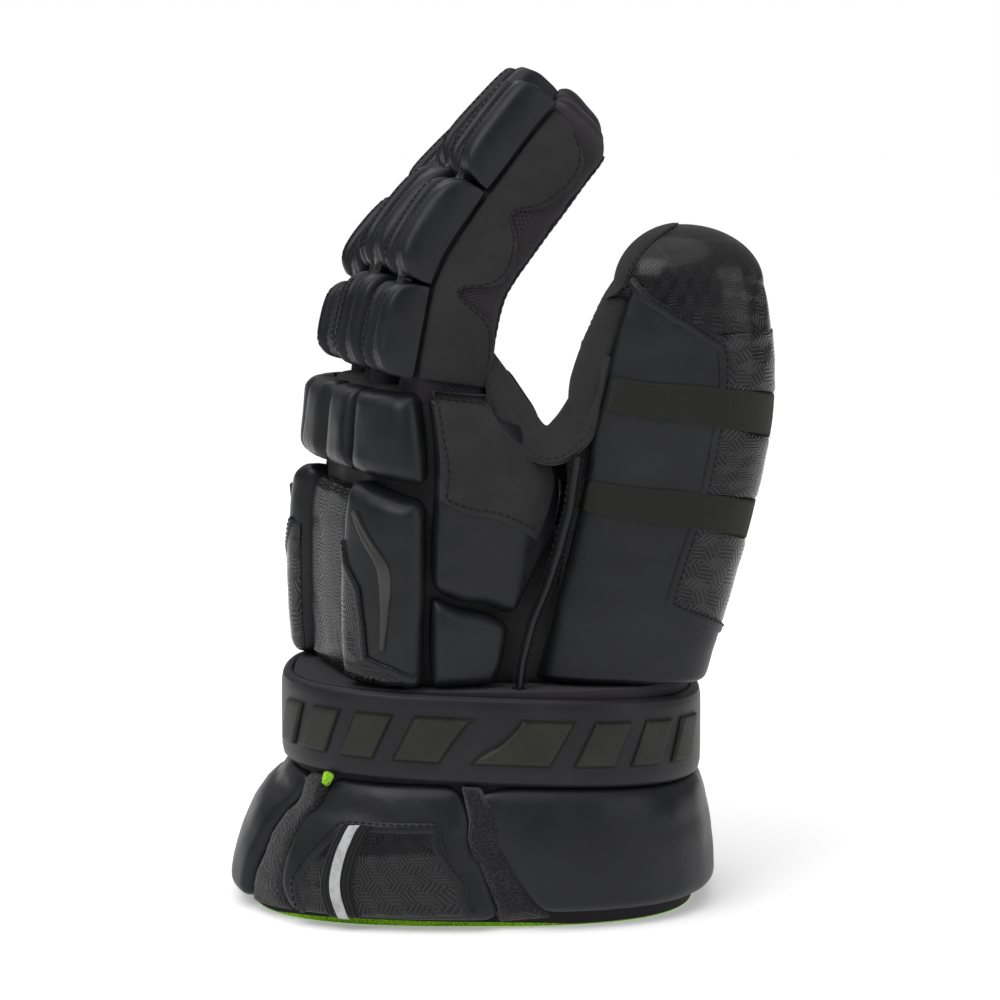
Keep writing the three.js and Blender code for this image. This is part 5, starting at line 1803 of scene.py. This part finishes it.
    def cap(self, angle: Array, b: Array, above: Array | float) -> Array:
        """Points of the tip's dome, from its lower edge at 0 to its top at 1."""
        guide = self.guides.thumb
        table = np.array(self.tip, float)
        low = np.interp(angle, table[:, 0], table[:, 1])
        rise = np.interp(angle, table[:, 0], table[:, 2]) * self.cap_thick
        up = np.minimum(b / self.dome_start, 1)
        over = np.clip((b - self.dome_start) / (1 - self.dome_start), 0, 1)
        place = low + (self.dome_foot - low) * up
        edge = shoulder(up * np.maximum(self.dome_foot - low, 0.004) * guide.height, 1.6 * MM)
        shell = guide.surface(place, angle)
        middle = middle_of(guide, place)
        outward = shell - middle
        outward /= np.linalg.norm(outward, axis=1, keepdims=True)
        shell = shell + outward * (rise * (0.93 + 0.07 * edge) + above)[:, None]
        turn = over * math.pi / 2
        lift = (self.dome + above) * np.sin(turn)
        return middle + (shell - middle) * np.cos(turn)[:, None] + np.array((0, 0, 1.0)) * lift[:, None]

    def wrap(self, a: Array, b: Array) -> Array:
        """How a strap dives beside the pads at both of its ends."""
        near, far = np.clip(1 - a / 0.07, 0, 1), np.clip((a - 0.9) / 0.1, 0, 1)
        pressed = self.pressed * np.clip((a - 0.45) / 0.22, 0, 1)
        return -self.dive * (near**2 + far**2) - pressed

    def build_straps(self, bench: Bench) -> None:
        """Makes the two elastic straps across the thumb."""
        form = {"rim": 0.6, "roll": 0.9 * MM, "uneven": 0.15 * MM, "corner": 0.0, "extra": self.wrap}
        for name, outline in self.straps.items():
            shape = Cushion(self.guides.thumb, outline, 1.1 * MM, lift=self.pad_thick + 0.7 * MM, **form)
            facts = {"step": 1.2 * MM, "stands_for": name}
            bench.cloth(shape, f"{name}_elastic", Finish.STRAP, "stretched", ["thumb_pad_soft"], **facts)


@dataclass
class WristBand:
    """The moulded band round the wrist, with its row of raised blocks."""

    guides: Guides
    thick: float = 4.6 * MM
    height: float = 34 * MM
    low: float = 54 * MM
    tilt: tuple[float, float] = (0.04, 0.03)
    block: float = 1.6 * MM
    block_size: tuple[float, float] = (15 * MM, 17 * MM)
    block_turn: float = 11.5
    block_lean: float = 6.0
    block_span: tuple[float, float] = (0.25, 0.75)
    # margin: how far the painted shade reaches out round each block.
    margin: float = 1.3 * MM
    blocks: Sequence[float] = tuple(206 + 124 * k / 7 for k in range(8))
    section: Rows = (
        (0, 0.02), (0, 0.98), (0.12, 1), (0.55, 1), (0.88, 0.96), (1, 0.88), (1.02, 0.7),
        (1.02, 0.3), (1, 0.12), (0.88, 0.04), (0.55, 0), (0.12, 0),
    )

    def point(self, angle: Array, out: Array, up: Array) -> Array:
        """Points of the band, from shares of its thickness and height."""
        top = np.ones(np.shape(angle))
        foot = self.guides.cuff.surface(top, angle)
        outward = self.guides.cuff.normal(top, angle)
        points = foot + outward * (CLEARANCE + out * self.thick)[..., None]
        local = foot - np.array(self.guides.shift)
        slope = self.tilt[0] * local[..., 0] + self.tilt[1] * local[..., 1]
        points[..., 2] = self.low - slope + up * self.height
        return points

    def build(self, bench: Bench) -> None:
        """Makes the ring and its blocks."""
        table = np.array([*self.section, self.section[0]], float)

        def face(a: Array, b: Array) -> Array:
            return self.point(a * 360, *straight_row(table, b))

        facts = {"stands_for": "wrist_band", "sharp": 60}
        bench.shell(face, (160, 48), (480 * MM, 80 * MM), "wrist_band_moulded", Finish.RUBBER, **facts)
        for number, angle in enumerate(self.blocks):
            self.build_block(bench, number, angle)

    def build_block(self, bench: Bench, number: int, angle: float) -> None:
        """Makes one raised block, which leans, and a near-black sheet round its foot as painted shade."""

        wide, tall = self.block_size

        def at(a: Array, b: Array, out: Array) -> Array:
            turn = angle + (a - 0.5) * self.block_turn + (b - 0.5) * self.block_lean
            low, high = self.block_span
            return self.point(turn, out, low + (high - low) * b)

        def face(a: Array, b: Array) -> Array:
            over_side = shoulder(np.minimum(a, 1 - a) * wide, 1 * MM)
            over_end = shoulder(np.minimum(b, 1 - b) * tall, 1 * MM)
            rise = np.minimum(over_side, over_end)
            return at(a, b, 1.02 + self.block * (0.2 + 0.8 * rise) / self.thick)

        def foot(a: Array, b: Array) -> Array:
            return at(a, b, np.full(a.shape, 0.9))

        # A flat near-black sheet on the band round the block: painted shade where the block meets the band.
        def groove(a: Array, b: Array) -> Array:
            wider, taller = (1 + self.margin / (side - 1 * MM) for side in self.block_size)
            return at(0.5 + (a - 0.5) * wider, 0.5 + (b - 0.5) * taller, np.full(a.shape, 1.05))

        mesh = bench.grid(14, 14, face, foot, self.block_size)
        bench.finish(mesh, f"band_block_{number + 1}", Finish.BLOCK)
        bench.finish(bench.grid(12, 12, groove), f"band_groove_{number + 1}", Finish.THREAD)


@dataclass
class Cuff:
    """The flared cuff: its lining, padded lobes, fleece edges and reflective panel."""

    guides: Guides
    lobe_thick: float = 9 * MM
    lining_wall: float = 3 * MM
    hem: tuple[float, float] = (0.005, 0.021)
    hem_span: tuple[float, float] = (252.0, 34.0)
    flange: float = 24 * MM
    ledge_under: float = 0.967
    cover_top: float = 0.888
    cover_lift: float = 0.3 * MM
    lobes: dict[str, Rows] = field(
        default_factory=lambda: {
            "cuff_near_lobe": (
                (228, 0.05, 274, 0.035), (222, 0.176, 271, 0.242), (222, 0.396, 269, 0.418),
                (226, 0.615, 266.5, 0.61),
            ),
            "cuff_thumb_lobe": (
                (280.5, 0.07, 392, 0.05), (274.6, 0.22, 396, 0.22), (269.7, 0.418, 396, 0.418),
                (267.6, 0.605, 394, 0.54),
            ),
            "cuff_far_lobe": (
                (41, 0.035, 136, 0.035), (41, 0.22, 137, 0.22), (40, 0.418, 137, 0.418),
                (40, 0.535, 136, 0.565),
            ),
            "cuff_back_lobe": (
                (141, 0.035, 205, 0.04), (141, 0.22, 207, 0.22), (141, 0.418, 210, 0.418),
                (141, 0.575, 215, 0.615),
            ),
        }
    )
    fleece: dict[str, Rows] = field(
        default_factory=lambda: {
            "fleece_back_edge": (
                (204, 0.03, 228, 0.04), (206, 0.22, 223, 0.2), (209.5, 0.418, 223, 0.396),
                (215, 0.615, 226, 0.615),
            ),
            "fleece_thumb_edge": (
                (273, 0.03, 283, 0.045), (270.2, 0.242, 277, 0.22), (268.2, 0.418, 272.2, 0.418),
                (266.2, 0.61, 269, 0.605),
            ),
        }
    )
    inset: Rows = (
        (13, 0.05, 93, 0.07), (16, 0.33, 95, 0.29), (25.5, 0.52, 91, 0.5), (36, 0.69, 86.5, 0.72),
    )
    peek: Rows = ((225.5, 0.6, 228, 0.585), (226.5, 0.655, 230.5, 0.64))
    tape: Rows = ((31.5, 0.05, 50, 0.055), (34, 0.4, 52, 0.4), (36.5, 0.7, 54.5, 0.71))
    stripe: Rows = ((38, 0.055, 44, 0.055), (39.5, 0.4, 45.5, 0.4), (41, 0.69, 47, 0.7))

    def build(self, bench: Bench) -> None:
        """Makes the cuff's pieces."""
        self.build_lining(bench)
        for number, (name, outline) in enumerate(self.lobes.items()):
            form = {"crown": 0.8 * MM, "rim": 0.25, "seed": 31.1 + number, "thin_top": 0.38}
            shape = Cushion(self.guides.cuff, outline, self.lobe_thick, **form)
            bench.cushion(
                shape, f"{name}_soft", Finish.LEATHER, step=1.9 * MM, stands_for=name, padded=0.85
            )
            if name == "cuff_near_lobe":
                self.build_panel(bench, Face(shape.face))
        for name, outline in self.fleece.items():
            form = {"roll": 5 * MM, "rim": 0.4, "uneven": 0.8 * MM, "seed": 5.5, "corner": 0.02}
            shape = Cushion(self.guides.cuff, outline, 6 * MM, **form)
            bench.cushion(shape, f"{name}_pile", Finish.FLEECE, step=0.9 * MM, stands_for=name)
        self.build_covers(bench)
        shape = Cushion(
            self.guides.cuff, self.peek, 2 * MM, lift=6 * MM, roll=1.2 * MM, corner=0.1, uneven=0.2 * MM
        )
        bench.cushion(shape, "lining_peek", Finish.LINING, step=0.8 * MM)

    def build_covers(self, bench: Bench) -> None:
        """Makes the black cloth over the lining, above its green hem, and over its turned-in top."""
        guide = self.guides.cuff

        def side(a: Array, b: Array) -> Array:
            middle, half = self.hem_span
            low, high = self.hem
            shown = np.sqrt(np.clip(1 - np.abs(a * 360 - middle) / half, 0, 1))
            foot = low + high * shown
            return guide.at(foot + (self.cover_top - foot) * b, a * 360, self.cover_lift)

        def top(a: Array, b: Array) -> Array:
            inward = np.clip((b - 0.3) / 0.7, 0, 1) * (self.flange + 0.5 * MM)
            down = np.clip((0.3 - b) / 0.3, 0, 1)
            points = guide.at(1 - 0.1 * down, a * 360, CLEARANCE - inward)
            points[:, 2] = guide.foot.z + (1 - 0.1 * down) * guide.height + 0.5 * MM * (1 - down)
            return points

        for name, face, rows in (("cuff_cover", side, 40), ("wrist_cover", top, 16)):
            bench.shell(face, (120, rows), (480 * MM, 80 * MM), name, Finish.KNIT)

    def build_lining(self, bench: Bench) -> None:
        """Makes the sleeve of lining, whose top turns inwards."""
        guide = self.guides.cuff
        under, wall, ledge = self.ledge_under, self.lining_wall, self.flange - self.lining_wall
        path = [(k / 20, 0.0) for k in range(20)] + [(0.985, 0.0), (1.0, 1.5 * MM)]
        path += [(1.0, self.flange * k / 6) for k in range(1, 7)] + [(under, self.flange)]
        path += [(under, wall + ledge * (1 - k / 4)) for k in range(1, 5)]
        path += [(under - under * k / 20, wall) for k in range(1, 21)] + [(0.0, 0.0)]
        table = np.array(path)

        def face(a: Array, b: Array) -> Array:
            place, inward = straight_row(table, b)
            points = guide.at(place, a * 360, -inward)
            points[:, 2] = guide.foot.z + place * guide.height
            return points

        facts = {"stands_for": "cuff_lining", "sharp": 70}
        counts = (120, len(table) * 2)
        bench.shell(face, counts, (480 * MM, 200 * MM), "cuff_lining_knit", Finish.LINING, **facts)

    def build_panel(self, bench: Bench, lobe: Face) -> None:
        """Makes the pressed inset, its trim, the ribbed tape across it and the reflective stripe."""
        layers = (
            ("cuff_inset", self.inset, 0.8 * MM, 0.2 * MM, Finish.EMBOSSED, "pressed"),
            ("cuff_tape", self.tape, 1.2 * MM, 0.9 * MM, Finish.TAPE, "ribbed"),
            ("cuff_stripe", self.stripe, 0.6 * MM, 2.0 * MM, Finish.REFLECTIVE, "silver"),
        )
        for name, outline, thick, above, finish, look in layers:
            shape = Cushion(lobe, outline, thick, lift=above, corner=0.0, rim=0.6, roll=1 * MM, uneven=0)
            bench.cushion(shape, f"{name}_{look}", finish, step=1.2 * MM, stands_for=name)
        left = [(row[0], row[1]) for row in self.inset]
        right = [(row[2], row[3]) for row in reversed(self.inset)]
        trim = Ribbon(lobe, [*left, *right], 4.2 * MM, 1.3 * MM, 0.1 * MM, bow=0.4, soften=4)
        bench.ribbon(trim, "cuff_inset_trim", Finish.LEATHER)
        seam = trim.line(-1.3 * MM, 1.25 * MM)
        bench.stitches([seam], "cuff_stitches", pitch=2.8 * MM, long=2 * MM, thick=0.34 * MM)


def thicken(piece: bpy.types.Object, thickness: float, offset: float = -1.0) -> None:
    """Gives a piece a wall, inwards unless its offset says otherwise."""
    wall = piece.modifiers.new("wall", "SOLIDIFY")
    wall.thickness = thickness
    wall.offset = offset


def apply_modifiers(piece: bpy.types.Object) -> None:
    """Turns a piece's modifiers into its mesh."""
    shown = piece.evaluated_get(bpy.context.evaluated_depsgraph_get())
    data = bpy.data.meshes.new_from_object(shown)
    old = piece.data
    piece.modifiers.clear()
    piece.data = data
    data.name = old.name
    bpy.data.meshes.remove(old)


def open_below(piece: bpy.types.Object, height: float) -> None:
    """Opens a closed piece at a level plane."""
    mesh = bmesh.new()
    mesh.from_mesh(piece.data)
    everything = [*mesh.verts, *mesh.edges, *mesh.faces]
    bmesh.ops.bisect_plane(
        mesh, geom=everything, plane_co=(0, 0, height), plane_no=(0, 0, 1), clear_inner=True
    )
    mesh.to_mesh(piece.data)
    mesh.free()
    piece.data.polygons.foreach_set("use_smooth", [True] * len(piece.data.polygons))


def aimed(name: str, data: bpy.types.ID, place: Vector, way: Vector) -> bpy.types.Object:
    """Places a lamp or camera that looks one way."""
    made = bpy.data.objects.new(name, data)
    made.location = place
    made.rotation_mode = "QUATERNION"
    made.rotation_quaternion = way.to_track_quat("-Z", "Y")
    bpy.context.collection.objects.link(made)
    return made


@dataclass
class Studio:
    """The floor, the lights and the camera."""

    guides: Guides
    aim_height: float = 157 * MM
    distance: float = 1.2
    elevation: float = math.radians(7)
    lens: float = 108.0
    sky_light: tuple[float, float] = (0.1, 0.62)
    floor_radius: float = 40.0
    floor_gap: float = 0.5 * MM
    floor_glow: float = 0.26
    sun_power: float = 1.4
    sun_spread: float = math.radians(70)
    sun_way: tuple[float, float, float] = (0.25, 0.3, -1)
    lamps: Sequence[tuple[str, tuple[float, float, float], float, float]] = (
        ("key", (-1.0, -1.3, 1.5), 1.1, 14),
        ("fill", (1.6, -1.1, 0.8), 1.2, 7),
        ("back", (-0.7, 1.2, 1.7), 0.9, 4),
    )

    def build(self) -> None:
        """Makes the studio."""
        self.build_camera()
        self.build_floor()
        self.build_lights()

    def build_camera(self) -> None:
        """Looks at the thumb side from a little above."""
        aim = self.guides.shift + Vector((0, 0, self.aim_height))
        back = Vector((0, -math.cos(self.elevation), math.sin(self.elevation)))
        data = bpy.data.cameras.new("camera")
        data.lens = self.lens
        data.sensor_width = 36
        bpy.context.scene.camera = aimed("camera", data, aim + back * self.distance, -back)

    def build_floor(self) -> None:
        """Lays a wide pale floor under a pale sky, which the camera sees as white."""
        mesh = bmesh.new()
        bmesh.ops.create_circle(mesh, cap_ends=True, segments=96, radius=self.floor_radius)
        data = bpy.data.meshes.new("floor")
        mesh.to_mesh(data)
        mesh.free()
        floor = bpy.data.objects.new("floor", data)
        floor.location.z = -self.floor_gap
        bpy.context.collection.objects.link(floor)
        glow = {"Emission_Color": (1, 1, 1, 1), "Emission_Strength": self.floor_glow}
        graph = Graph("pale_floor", Roughness=0.9, Specular_IOR_Level=0.1, **glow)
        tone = graph.noise(graph.place(), 0.6, 2)
        pale = graph.blend(tone, (0.87, 0.87, 0.87), (0.9, 0.9, 0.9))
        data.materials.append(graph.paint(Base_Color=pale))
        floor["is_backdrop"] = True
        world = bpy.data.worlds.new("world")
        world.use_nodes = True
        bpy.context.scene.world = world
        tree = world.node_tree
        sky = tree.nodes["Background"]
        sky.inputs["Color"].default_value = (1, 1, 1, 1)
        way = tree.nodes.new("ShaderNodeTexCoord").outputs["Generated"]
        parts = tree.nodes.new("ShaderNodeSeparateXYZ")
        tree.links.new(way, parts.inputs["Vector"])
        height = tree.nodes.new("ShaderNodeMapRange")
        height.inputs["To Min"].default_value = self.sky_light[0]
        height.inputs["To Max"].default_value = self.sky_light[1]
        tree.links.new(parts.outputs["Z"], height.inputs["Value"])
        seen = tree.nodes.new("ShaderNodeLightPath").outputs["Is Camera Ray"]
        power = tree.nodes.new("ShaderNodeMapRange")
        power.inputs["To Max"].default_value = 1.0
        tree.links.new(height.outputs["Result"], power.inputs["To Min"])
        tree.links.new(seen, power.inputs["Value"])
        tree.links.new(power.outputs["Result"], sky.inputs["Strength"])
        bpy.context.scene.view_settings.view_transform = "Standard"

    def light(self, name: str, place: Sequence[float], size: float, power: float) -> None:
        """Hangs a soft square light that faces the glove.

        Args:
            name: Its name.
            place: Where it hangs.
            size: Its side.
            power: Its power in watts.
        """
        data = bpy.data.lights.new(name, "AREA")
        data.shape = "SQUARE"
        data.size = size
        data.energy = power
        aimed(name, data, Vector(place), Vector((0, 0, self.aim_height)) - Vector(place))

    def build_lights(self) -> None:
        """Hangs the lights."""
        for lamp in self.lamps:
            self.light(*lamp)
        data = bpy.data.lights.new("sun", "SUN")
        data.angle = self.sun_spread
        data.energy = self.sun_power
        aimed("sun", data, Vector(), Vector(self.sun_way))


def main() -> None:
    """Builds the glove on its frame, piece by piece."""
    logging.basicConfig(level=logging.INFO, format="%(message)s")
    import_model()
    cad_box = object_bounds()
    guides = Guides()
    bench = Bench()
    studio = Studio(guides)
    studio.build()
    for assembly in (Cuff(guides), WristBand(guides), Hand(guides), FingerRow(guides), Thumb(guides)):
        assembly.build(bench)
        log.info("%s is made", type(assembly).__name__)
    bpy.context.view_layer.update()
    boxes = {"cad": cad_box, "visual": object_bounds()}
    {name: [list(corner) for corner in box] for name, box in boxes.items()}


if __name__ == "__main__":
    main()
